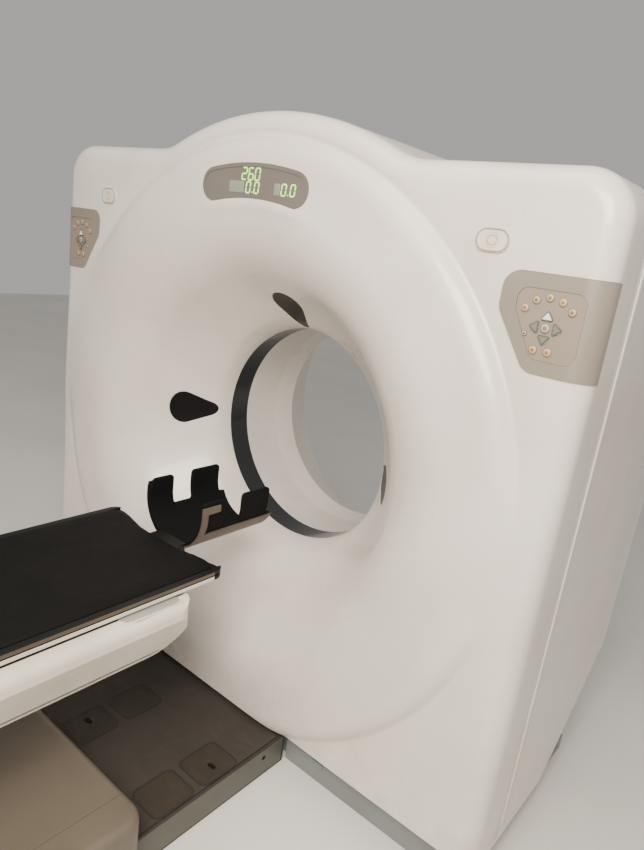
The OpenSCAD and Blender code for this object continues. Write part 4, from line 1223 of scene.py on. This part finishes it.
@dataclass
class GantryTrim:
    """Small trim on the gantry: the flanks' seams and beads, and the stop pads' printing."""

    cover: FrontCover
    seam_x: Point = (0.8796, 0.88035)
    seam_y: Point = (-0.1462, -0.1448)
    seam_z: Point = (0.10, 1.50)
    bead_x: Point = (0.8796, 0.8822)
    bead_y: Point = (-0.1688, -0.1478)
    bead_z: Point = (0.112, 1.495)
    bead_r: float = 0.0021
    stop_place: tuple[float, float, float] = (0.640, -0.338, 0.623)
    ring_inset: Point = (-0.0010, -0.0032)
    ring_depths: Point = (-0.3378, -0.3383)
    mark_radii: Point = (0.0105, 0.0085)
    mark_half: float = 0.0003

    def flank_seams(self) -> bpy.types.Object:
        """Builds the second line of each flank, 25 mm behind the flange, as a narrow strip of painted
        shadow for the seam's groove.

        Returns:
            Both painted shadow strips as one piece.
        """
        (y0, y1), (z0, z1) = self.seam_y, self.seam_z
        pts = [(y0, z0), (y1, z0), (y1, z1), (y0, z1)]
        parts = [
            plate("line", pts, Plane.SIDE, side * self.seam_x[0], side * self.seam_x[1])
            for side in (1, -1)
        ]
        return place(joined("flank_painted_shadow_lines", parts), "gantry", "rubber_black", GROOVE.build())

    def flank_beads(self) -> bpy.types.Object:
        """Builds the rounded bead between the two lines of each flank, which catches the light.

        Returns:
            Both beads as one piece.
        """
        (y0, y1), (z0, z1) = self.bead_y, self.bead_z
        pts = [(y0, z0), (y1, z0), (y1, z1), (y0, z1)]
        parts = [
            plate("bead", pts, Plane.SIDE, side * self.bead_x[0], side * self.bead_x[1], self.bead_r)
            for side in (1, -1)
        ]
        return place(joined("flank_beads", parts), "gantry", "cover_white", COVER.build())

    def stop_rings(self) -> bpy.types.Object:
        """Builds the grey line round each stop pad.

        Returns:
            Both lines as one piece.
        """
        back, face = self.ring_depths
        parts = []
        for side in (1, -1):
            outer, inner = (self.cover.stadium(side, inset) for inset in self.ring_inset)
            levels = ((outer, back), (outer, face), (inner, face), (inner, back))
            rings = [[Plane.FRONT.lift(p, y) for p in line] for line, y in levels]
            parts.append(loft("ring", rings + [rings[0]], closed_ends=False))
        return place(joined("stop_pad_lines", parts), "gantry", "panel_grey", PRINT_GREY.build())

    def stop_marks(self) -> None:
        """Builds the faint red ring on each stop button."""
        (outer, inner), half = self.mark_radii, self.mark_half
        profile = [(outer, -half), (outer, half), (inner, half), (inner, -half), (outer, -half)]
        angles = [math.tau * i / 40 for i in range(40)]
        for side, name in ((1, "right"), (-1, "left")):
            x, y, z = side * self.stop_place[0], self.stop_place[1], self.cover.iso + self.stop_place[2]
            rings = [
                [(x + r * math.cos(a), y - h, z + r * math.sin(a)) for a in angles]
                for r, h in profile
            ]
            mark = loft(f"stop_mark_{name}", rings, closed_ends=False)
            place(mark, f"stop_button_{name}", "button_cream", PRINT_RED.build())

    def build(self) -> None:
        """Builds all the trim."""
        self.flank_seams()
        self.flank_beads()
        self.stop_rings()
        self.stop_marks()


@dataclass
class Display:
    """The gantry display: lit figures and blank fields on the satin plate."""

    front: float = -0.3604
    figure_h: float = 0.0275
    figure_w: float = 0.0150
    pitch: float = 0.0225
    stroke: float = 0.0033
    lean: float = 0.08
    thickness: float = 0.0007
    upper_foot: float = 1.5350
    upper_start: float = -0.0325
    lower_foot: float = 1.5048
    lower_starts: tuple[float, float] = (-0.0155, 0.1035)
    lower_pitch: float = 0.0285
    lower_size: float = 0.93
    dot_offset: Point = (0.0138, 0.0003)
    dot_side: float = 0.003
    field_heights: Point = (1.5040, 1.5312)
    field_spans: tuple[Point, ...] = ((-0.082, -0.030), (0.073, 0.092))
    field_r: float = 0.003
    segments: dict[str, str] = field(
        default_factory=lambda: {"0": "abcdef", "2": "abged", "6": "acdefg"}
    )

    def bar(self, a: Point, b: Point) -> bpy.types.Object:
        """Builds one segment with pointed ends.

        Args:
            a: where it starts.
            b: where it ends.

        Returns:
            The closed segment.
        """
        p, q = Vector(a), Vector(b)
        d = (q - p).normalized()
        n, s = Vector((-d.y, d.x)), self.stroke / 2
        p, q = p + d * s * 0.3, q - d * s * 0.3
        pts = [p, p + d * s - n * s, q - d * s - n * s, q, q - d * s + n * s, p + d * s + n * s]
        return plate("bar", [tuple(v) for v in pts], Plane.FRONT, self.front, self.front - self.thickness)

    def figure(self, digit: str, x: float, z: float, size: float = 1.0) -> list[bpy.types.Object]:
        """Builds a figure's lit segments.

        Args:
            digit: "0", "2" or "6".
            x: its middle.
            z: its foot.
            size: its share of the full size.

        Returns:
            The segments.
        """
        w, h = self.figure_w * size / 2, self.figure_h * size
        corner = {
            "tl": (-w, h), "tr": (w, h), "ml": (-w, h / 2), "mr": (w, h / 2), "bl": (-w, 0.0),
            "br": (w, 0.0),
        }
        ends = {
            "a": "tl tr", "b": "tr mr", "c": "mr br", "d": "bl br", "e": "ml bl", "f": "tl ml",
            "g": "ml mr",
        }
        bars = []
        for seg in self.segments[digit]:
            a, b = (corner[k] for k in ends[seg].split())
            bars.append(
                self.bar(
                    (x + a[0] + a[1] * self.lean, z + a[1]), (x + b[0] + b[1] * self.lean, z + b[1])
                ),
            )
        return bars

    def rounded(self, x0: float, x1: float, z0: float, z1: float, r: float) -> list[Point]:
        """Draws a rectangle with rounded corners.

        Args:
            x0: its left edge.
            x1: its right edge.
            z0: its lower edge.
            z1: its upper edge.
            r: the corners' radius.

        Returns:
            Points in the front plane.
        """
        return (
            arc((x1 - r, z0 + r), r, -90, 0, 5) + arc((x1 - r, z1 - r), r, 0, 90, 5)
            + arc((x0 + r, z1 - r), r, 90, 180, 5) + arc((x0 + r, z0 + r), r, 180, 270, 5)
        )

    def build(self) -> None:
        """Builds the figures, the decimal points and the blank fields."""
        lit: list[bpy.types.Object] = []
        for i, digit in enumerate("260"):
            lit += self.figure(digit, self.upper_start + i * self.pitch, self.upper_foot)
        for x in self.lower_starts:
            for place_x in (x, x + self.lower_pitch):
                lit += self.figure("0", place_x, self.lower_foot, self.lower_size)
            x0, z0 = x + self.dot_offset[0], self.lower_foot + self.dot_offset[1]
            x1, z1 = x0 + self.dot_side, z0 + self.dot_side
            dot = [(x0, z0), (x1, z0), (x1, z1), (x0, z1)]
            lit.append(plate("dot", dot, Plane.FRONT, self.front, self.front - self.thickness))
        place(joined("display_figures", lit), "gantry", "panel_grey", LIT_GREEN.build())
        z0, z1 = self.field_heights
        outlines = [self.rounded(x0, x1, z0, z1, self.field_r) for x0, x1 in self.field_spans]
        front = self.front - 0.0008
        fields = [plate("field", o, Plane.FRONT, self.front, front, 0.0004) for o in outlines]
        place(joined("display_fields", fields), "gantry", "panel_grey", FIELD.build())


@dataclass
class KeyField:
    """The printed keys of one control panel."""

    side: int
    centre: Point = (0.780, 1.316)
    mat: float = -0.3365
    arc_r: float = 0.056
    arc_start_deg: float = 40.0
    arc_step_deg: float = 26.5
    pitch: float = 0.0215
    low_row: tuple[Point, ...] = ((-0.015, -0.043), (0.013, -0.043))
    lamp: Point = (-0.038, -0.016)
    sink: float = 0.0004
    pointer_depths: tuple[float, float, float, float] = (-0.3381, -0.3393, -0.3391, -0.3400)
    pointer_line: float = 0.0024

    def key(self, name: str, x: float, z: float, r: float, depth: float, ink: Finish) -> None:
        """Builds a key: a dark outline and a coloured cap.

        Args:
            name: the piece's name.
            x: its place across, from the panel's middle.
            z: its place up, from the panel's middle.
            r: its radius.
            depth: how far the mat's own key stands out.
            ink: the cap's finish.
        """
        tag = "right" if self.side > 0 else "left"
        at = (self.side * (self.centre[0] + x), self.mat - depth + self.sink, self.centre[1] + z)
        rim = lathe(
            "rim", [(r, 0.0), (r, 0.0007), (r * 0.93, 0.0010), (0.0, 0.0010)], at, Vector((0, -1, 0)), 28
        )
        cap = lathe(
            "cap",
            [(r * 0.80, 0.0), (r * 0.80, 0.0013), (r * 0.72, 0.0018), (r * 0.4, 0.0021), (0.0, 0.0022)],
            at,
            Vector((0, -1, 0)),
            28,
        )
        spot = lathe(
            "spot",
            [(r * 0.46, 0.0016), (r * 0.46, 0.0024), (r * 0.38, 0.0027), (0.0, 0.0028)],
            at,
            Vector((0, -1, 0)),
            20,
        )
        for piece, part, finish in ((rim, "line", ink), (cap, "cap", KEY_CAP), (spot, "spot", ink)):
            piece.name = f"{name}_{part}_{tag}"
            place(piece, "gantry", "key_mat", finish.build())

    def pointer(self, turn: float, shrink: float = 0.0) -> list[Point]:
        """Returns the outline of a move key: a rounded triangle beside the middle key.

        Args:
            turn: where it lies and points, in degrees.
            shrink: how much smaller the outline is drawn all round.

        Returns:
            Points in the front plane.
        """
        r, normal = 0.0030 - shrink, math.degrees(math.atan2(0.012, 0.0085))
        ends = [
            ((0.0070, 0.0), -normal, normal), ((-0.0050, 0.0085), normal, 180.0),
            ((-0.0050, -0.0085), 180.0, 360 - normal),
        ]
        pts = [p for centre, start, end in ends for p in arc(centre, r, start, end, 6)]
        c, s = math.cos(math.radians(turn)), math.sin(math.radians(turn))
        x0, z0 = self.side * self.centre[0] + self.pitch * c, self.centre[1] + self.pitch * s
        return [(x0 + x * c - z * s, z0 + x * s + z * c) for x, z in pts]

    def move_keys(self) -> None:
        """Builds the four triangular keys round the middle one; only the upper one is white inside."""
        tag = "right" if self.side > 0 else "left"
        line_back, line_front, cap_back, cap_front = self.pointer_depths
        lines, caps = [], []
        for turn in (0, 90, 180, 270):
            lines.append(plate("line", self.pointer(turn), Plane.FRONT, line_back, line_front))
            outline = self.pointer(turn, self.pointer_line)
            inside = plate("cap", outline, Plane.FRONT, cap_back, cap_front)
            if turn == 90:
                inside.name = f"key_up_{tag}"
                place(inside, "gantry", "key_mat", INK_WHITE.build())
            else:
                caps.append(inside)
        place(joined(f"key_move_lines_{tag}", lines), "gantry", "key_mat", KEY_LINE.build())
        place(joined(f"key_move_caps_{tag}", caps), "gantry", "key_mat", KeyInk.GREEN.value.build())

    def build(self) -> None:
        """Builds every key of the panel."""
        inks = (KeyInk.OLIVE, KeyInk.ORANGE, KeyInk.YELLOW, KeyInk.OLIVE, KeyInk.RED)
        for i, ink in enumerate(inks):
            a = math.radians(self.arc_start_deg + self.arc_step_deg * i)
            self.key(
                f"key_arc_{i}",
                self.arc_r * math.cos(a),
                self.arc_r * math.sin(a),
                0.0076,
                0.002,
                ink.value,
            )
        self.move_keys()
        self.key("key_middle", 0.0, 0.0, 0.0092, 0.0025, KeyInk.GREEN.value)
        self.key("key_lamp", *self.lamp, 0.0052, 0.0015, KEY_LINE)
        for i, (x, z) in enumerate(self.low_row):
            self.key(f"key_low_{i}", x, z, 0.0082, 0.002, KeyInk.BROWN.value)


# Table


def softened(node: str, name: str, voxel: float, rounds: int) -> bpy.types.Object:
    """Copies a packed soft part and rounds it as foam or padding is.

    Args:
        node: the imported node.
        name: the new piece's name.
        voxel: the remesh size in metres.
        rounds: how many smoothing rounds.

    Returns:
        The new object.
    """
    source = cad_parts[node]
    obj = bpy.data.objects.new(name, source.data.copy())
    bpy.context.scene.collection.objects.link(obj)
    mod = obj.modifiers.new("remesh", "REMESH")
    mod.mode, mod.voxel_size, mod.use_smooth_shade = "VOXEL", voxel, True
    soft = obj.modifiers.new("soften", "SMOOTH")
    soft.factor, soft.iterations = 0.5, rounds
    return settle(obj, 75.0)


@dataclass
class Cradle:
    """The cradle's pad and the strips along its side channels."""

    front: float = -0.537
    length: float = 2.300
    pad_half: float = 0.202
    pad_fall: float = 0.04
    crown: float = 0.0012
    crease_depth: float = 0.0009
    pad_voxel: float = 0.005
    pad_rounds: int = 3
    strip_start: float = 0.02
    strip_end: float = 0.036
    strip_faces: Point = (0.2195, 0.2209)
    strip_r: float = 0.0005
    lower_strip: Point = (0.6186, 0.6271)
    upper_strip: Point = (0.6308, 0.6392)

    def fold(self, x: float, y: float) -> float:
        """Returns how high the faint creases stand at a place, from -1 to 1."""
        along = math.sin(y * 13 + 1.7 * math.sin(y * 5.1) + x * 3.1)
        return along * math.sin(y * 6.4 + x * 5.0 + 0.6) * math.cos(x * 6.0)

    def pad(self) -> bpy.types.Object:
        """Builds the padded vinyl mat, crowned and faintly creased across.

        Returns:
            The mat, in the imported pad's place.
        """
        obj = softened("cradle_pad", "cradle_mat", self.pad_voxel, self.pad_rounds)
        verts = obj.data.vertices
        upward = [v.normal.z > 0.3 for v in verts]
        for v, is_top in zip(verts, upward):
            x, y, z = v.co
            if is_top:
                near = min(max((self.pad_half - abs(x)) / self.pad_fall, 0.0), 1.0)
                v.co.z = z + near * (self.crown + self.crease_depth * self.fold(x, y))
        place(obj, "cradle", "pad_vinyl", VINYL.build())
        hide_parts("cradle_pad")
        return obj

    def edge_trims(self, name: str, z0: float, z1: float, finish: Finish) -> bpy.types.Object:
        """Builds one strip along each side channel of the cradle.

        Args:
            name: the piece's name.
            z0: the strip's lower edge.
            z1: its upper edge.
            finish: its finish.

        Returns:
            Both sides' strips as one piece.
        """
        y0, y1 = self.front - self.length + self.strip_start, self.front - self.strip_end
        outline = [(y0, z0), (y1, z0), (y1, z1), (y0, z1)]
        inner, outer = self.strip_faces
        parts = [
            plate("strip", outline, Plane.SIDE, side * inner, side * outer, self.strip_r)
            for side in (1, -1)
        ]
        return place(joined(name, parts), "cradle", "cover_white", finish.build())

    def build(self) -> None:
        """Builds the cradle's pieces."""
        self.pad()
        self.edge_trims("cradle_edge_lower", *self.lower_strip, HOUSING)
        self.edge_trims("cradle_edge_upper", *self.upper_strip, EDGE_TAUPE)


@dataclass
class TableHousing:
    """The grey sheets with painted step shade and the strips let into each top shoulder of the housing.
    """

    half_width: float = 0.256
    top: float = 0.613
    front: float = -0.655
    shoulder_r: float = 0.022
    sheet_half: float = 0.0006
    sheet_inner: float = 0.190
    sheet_edge: tuple[Point, ...] = (
        (-0.832, 0.220), (-0.828, 0.231), (-0.821, 0.239), (-0.811, 0.2445), (-0.800, 0.2462),
        (-0.775, 0.2450), (-0.750, 0.2435), (-0.720, 0.2412), (-0.700, 0.2390),
        (-0.686, 0.2345), (-0.682, 0.2260),
    )
    strip_x: Point = (0.2362, 0.2438)
    strip_y: Point = (0.1845, 0.0255)
    strip_z: Point = (0.0021, 0.0002)
    strip_r: float = 0.0006

    def surface(self, x: float, lift: float) -> float:
        """Returns the height over the top or its rounded shoulder at a place across."""
        over = max(abs(x) - (self.half_width - self.shoulder_r), 0.0)
        return self.top - self.shoulder_r + math.sqrt((self.shoulder_r + lift) ** 2 - over**2)

    def nose_inset(self) -> bpy.types.Object:
        """Builds the grey sheet on each top shoulder, pointed at its rear end: the stepped-down top's
        grey inner flat, with its shade painted in.

        Returns:
            Both sheets as one piece.
        """
        parts = []
        for side in (1, -1):
            rings = []
            for y, limit in self.sheet_edge:
                width = limit - self.sheet_inner
                xs = [self.sheet_inner + width * i / 12 for i in range(13)]
                over = [(side * x, y, self.surface(x, self.sheet_half)) for x in xs]
                under = [(side * x, y, self.surface(x, -self.sheet_half)) for x in reversed(xs)]
                rings.append(over + under)
            parts.append(loft("inset", rings))
        return place(joined("housing_nose_shade_sheets", parts), "table", "panel_grey", INSET_GREY.build())

    def build(self) -> bpy.types.Object:
        """Builds the sheets and the strips, seated in the housing's grooves.

        Returns:
            Both strips as one piece.
        """
        self.nose_inset()
        y0, y1 = (self.front - y for y in self.strip_y)
        back, face = (self.top - z for z in self.strip_z)
        parts = []
        for side in (1, -1):
            x0, x1 = sorted(side * x for x in self.strip_x)
            pts = [(x0, y0), (x1, y0), (x1, y1), (x0, y1)]
            parts.append(plate("strip", pts, Plane.PLAN, back, face, self.strip_r))
        return place(joined("housing_inset_strips", parts), "table", "cover_white", HOUSING.build())


@dataclass
class HeadHolder:
    """The head holder's foam lining and the foam that wraps round the shell's far edge."""

    centre: Point = (0.0, 0.715)
    outer_r: float = 0.1126
    inner_r: float = 0.0964
    front: float = -0.525
    edge_top: float = 0.0180
    edge_end_deg: float = 264.0
    edge_back: float = 0.0065
    edge_r: float = 0.0022
    foam_voxel: float = 0.0028
    foam_rounds: int = 4

    def wrap(self) -> bpy.types.Object:
        """Builds the foam edge over the shell's front rim, from the left top down to the middle.

        Returns:
            The foam edge.
        """
        half = (self.outer_r - self.inner_r) / 2
        outline = arc(self.centre, self.outer_r, 180, self.edge_end_deg, 26)
        outline += arc(self.centre, self.inner_r, self.edge_end_deg, 180, 26)
        outline += arc((-self.inner_r - half, self.centre[1] + self.edge_top), half, 0, 180, 10)
        back, face = self.front + self.edge_back, self.front - self.edge_r
        obj = plate("holder_edge_foam", outline, Plane.FRONT, back, face, self.edge_r)
        return place(obj, "cradle", "holder_foam", FOAM.build())

    def build(self) -> bpy.types.Object:
        """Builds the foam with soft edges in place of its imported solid.

        Returns:
            The foam lining.
        """
        self.wrap()
        obj = softened("head_holder_lining", "head_holder_foam", self.foam_voxel, self.foam_rounds)
        place(obj, "cradle", "holder_foam", FOAM.build())
        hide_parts("head_holder_lining")
        return obj


@dataclass
class FootPlate:
    """The foot plate's folded skirt with its screws, and the edging of the hatches."""

    half_width: float = 0.302
    top: float = 0.095
    front: float = -0.8148
    back: float = -0.320
    skirt_foot: float = 0.006
    skirt_drop: float = 0.012
    skirt_ends: Point = (0.004, 0.008)
    skirt_faces: Point = (-0.0005, 0.0012)
    skirt_r: float = 0.0008
    hatches: tuple[Point, ...] = ((0.244, -0.552), (0.244, -0.694), (-0.068, -0.552), (-0.068, -0.694))
    hatch_half: Point = (0.050, 0.059)
    hatch_r: float = 0.018
    edging_grow: Point = (0.0036, -0.0012)
    edging_rise: float = 0.0006
    edging_depth: float = 0.004
    screw_place: Point = (-0.402, 0.058)
    screw_seat: float = 0.0010
    screw_profile: tuple[Point, ...] = (
        (0.0058, 0.0), (0.0058, 0.0006), (0.0048, 0.0018), (0.0028, 0.0024),
        (0.0016, 0.0024), (0.0012, 0.0012), (0.0, 0.0012),
    )

    def skirt(self) -> bpy.types.Object:
        """Builds the folded skirt along both sides, just under the sheet.

        Returns:
            Both skirts as one piece.
        """
        y0, y1 = self.front + self.skirt_ends[0], self.back - self.skirt_ends[1]
        z0, z1 = self.skirt_foot, self.top - self.skirt_drop
        inner, outer = (self.half_width + x for x in self.skirt_faces)
        pts = [(y0, z0), (y1, z0), (y1, z1), (y0, z1)]
        parts = [
            plate("skirt", pts, Plane.SIDE, side * inner, side * outer, self.skirt_r)
            for side in (1, -1)
        ]
        return place(joined("foot_plate_skirt", parts), "base", "floor_skin", SKIRT.build())

    def hatch_outline(self, x: float, y: float, grow: float) -> list[Point]:
        """Draws a hatch with round corners.

        Args:
            x: its middle across.
            y: its middle along.
            grow: how much larger the outline is drawn all round.

        Returns:
            Points in plan.
        """
        hx, hy, r = self.hatch_half[0] + grow, self.hatch_half[1] + grow, self.hatch_r + grow
        corners = ((1, -1, -90), (1, 1, 0), (-1, 1, 90), (-1, -1, 180))
        pts: list[Point] = []
        for right, far, start in corners:
            pts += arc((x + right * (hx - r), y + far * (hy - r)), r, start, start + 90, 8)
        return pts

    def hatch_gaskets(self) -> bpy.types.Object:
        """Builds the dark rubber edging that lies in the gap round each hatch.

        Returns:
            The four edgings as one piece.
        """
        high, low = self.top + self.edging_rise, self.top - self.edging_depth
        parts = []
        for x, y in self.hatches:
            outer, inner = (self.hatch_outline(x, y, grow) for grow in self.edging_grow)
            levels = ((outer, low), (outer, high), (inner, high), (inner, low))
            rings = [[(p[0], p[1], z) for p in line] for line, z in levels]
            parts.append(loft("edging", rings + [rings[0]], closed_ends=False))
        return place(joined("hatch_edging", parts), "base", "rubber_black", RUBBER.build())

    def screw(self) -> bpy.types.Object:
        """Builds the slotless round-headed screw that holds each skirt.

        Returns:
            Both screws as one piece.
        """
        heads = []
        for side in (1, -1):
            at = (side * (self.half_width + self.screw_seat), *self.screw_place)
            heads.append(lathe("head", list(self.screw_profile), at, Vector((side, 0, 0)), 28))
        return place(joined("skirt_screws", heads), "base", "bare_steel", BLACK_SCREW.build())

    def build(self) -> None:
        """Builds the skirt, the edging and the screws."""
        self.skirt()
        self.hatch_gaskets()
        self.screw()


# Studio


@dataclass
class Studio:
    """The camera at the photograph's angle, a plain pale floor and soft light."""

    eye: tuple[float, float, float] = (1.2307, -1.5637, 1.4162)
    yaw_deg: float = 37.37
    pitch_deg: float = 15.4
    roll_deg: float = 7.92
    focal_px: float = 662.4
    frame_px: tuple[int, int] = (644, 850)

    def camera(self) -> bpy.types.Object:
        """Sets the camera, solved from the photograph for a frame of 644 by 850."""
        yaw, pitch, roll = (math.radians(a) for a in (self.yaw_deg, self.pitch_deg, self.roll_deg))
        forward = Vector(
            (-math.sin(yaw) * math.cos(pitch), math.cos(yaw) * math.cos(pitch), -math.sin(pitch))
        )
        right = forward.cross(Vector((0, 0, 1))).normalized()
        up = right.cross(forward)
        r2 = right * math.cos(roll) + up * math.sin(roll)
        u2 = -right * math.sin(roll) + up * math.cos(roll)
        data = bpy.data.cameras.new("photo_camera")
        data.sensor_fit, data.sensor_height = "VERTICAL", 36.0
        data.lens = self.focal_px / self.frame_px[1] * data.sensor_height
        data.clip_start, data.clip_end = 0.05, 60.0
        obj = bpy.data.objects.new("photo_camera", data)
        turn = Matrix((r2, u2, -forward)).transposed().to_4x4()
        obj.matrix_world = Matrix.Translation(self.eye) @ turn
        bpy.context.scene.collection.objects.link(obj)
        bpy.context.scene.camera = obj
        return obj

    def floor(self) -> None:
        """Lays the pale floor."""
        obj = make_mesh("studio_floor", [(-9, -9, 0), (9, -9, 0), (9, 9, 0), (-9, 9, 0)], [(0, 1, 2, 3)])
        obj.location.z = -0.0005
        obj.data.materials.append(FLOOR.build())

    def lamp(
        self,
        name: str,
        at: tuple[float, float, float],
        aim: tuple[float, float, float],
        size: float,
        watts: float,
        tint: str,
    ) -> None:
        """Hangs a soft square light.

        Args:
            name: the light's name.
            at: its place.
            aim: the point that it faces.
            size: its side in metres.
            watts: its power.
            tint: its colour as sRGB hex.
        """
        data = bpy.data.lights.new(name, "AREA")
        data.shape, data.size, data.energy, data.color = "SQUARE", size, watts, linear(tint)[:3]
        obj = bpy.data.objects.new(name, data)
        obj.location = at
        obj.rotation_euler = (Vector(aim) - Vector(at)).to_track_quat("-Z", "Y").to_euler()
        bpy.context.scene.collection.objects.link(obj)

    def light(self) -> None:
        """Sets a pale room and two soft lights."""
        world = bpy.data.worlds.new("pale_room")
        world.use_nodes = True
        bpy.context.scene.world = world
        back = world.node_tree.nodes["Background"]
        back.inputs["Color"].default_value = linear("E9E7E3")
        back.inputs["Strength"].default_value = 0.55
        self.lamp("near_light", (1.25, -2.0, 2.2), (0.3, -0.3, 0.9), 1.2, 108.0, "FFF4E6")
        self.lamp("ceiling_light", (0.2, -1.4, 3.6), (0.2, -0.6, 0.6), 1.8, 40.0, "FFF6EC")

    def build(self) -> None:
        """Builds the studio."""
        self.camera()
        self.floor()
        self.light()


def dress_carried() -> None:
    """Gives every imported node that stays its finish."""
    for finish, nodes in WEARERS.items():
        mat = finish.build()
        for node in nodes:
            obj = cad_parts[node]
            if not obj.material_slots:
                obj.data.materials.append(mat)
            for slot in obj.material_slots:
                slot.material = mat
            LOG.info("dressed %s in %s", node, finish.name)


def main() -> None:
    logging.basicConfig(level=logging.INFO, format="%(message)s")
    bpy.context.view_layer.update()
    Studio().build()
    dress_carried()
    cover = FrontCover()
    cover.build()
    GantryTrim(cover).build()
    Display().build()
    for side in (1, -1):
        KeyField(side).build()
    Cradle().build()
    TableHousing().build()
    HeadHolder().build()
    FootPlate().build()
    bpy.context.view_layer.update()


if __name__ == "__main__":
    main()
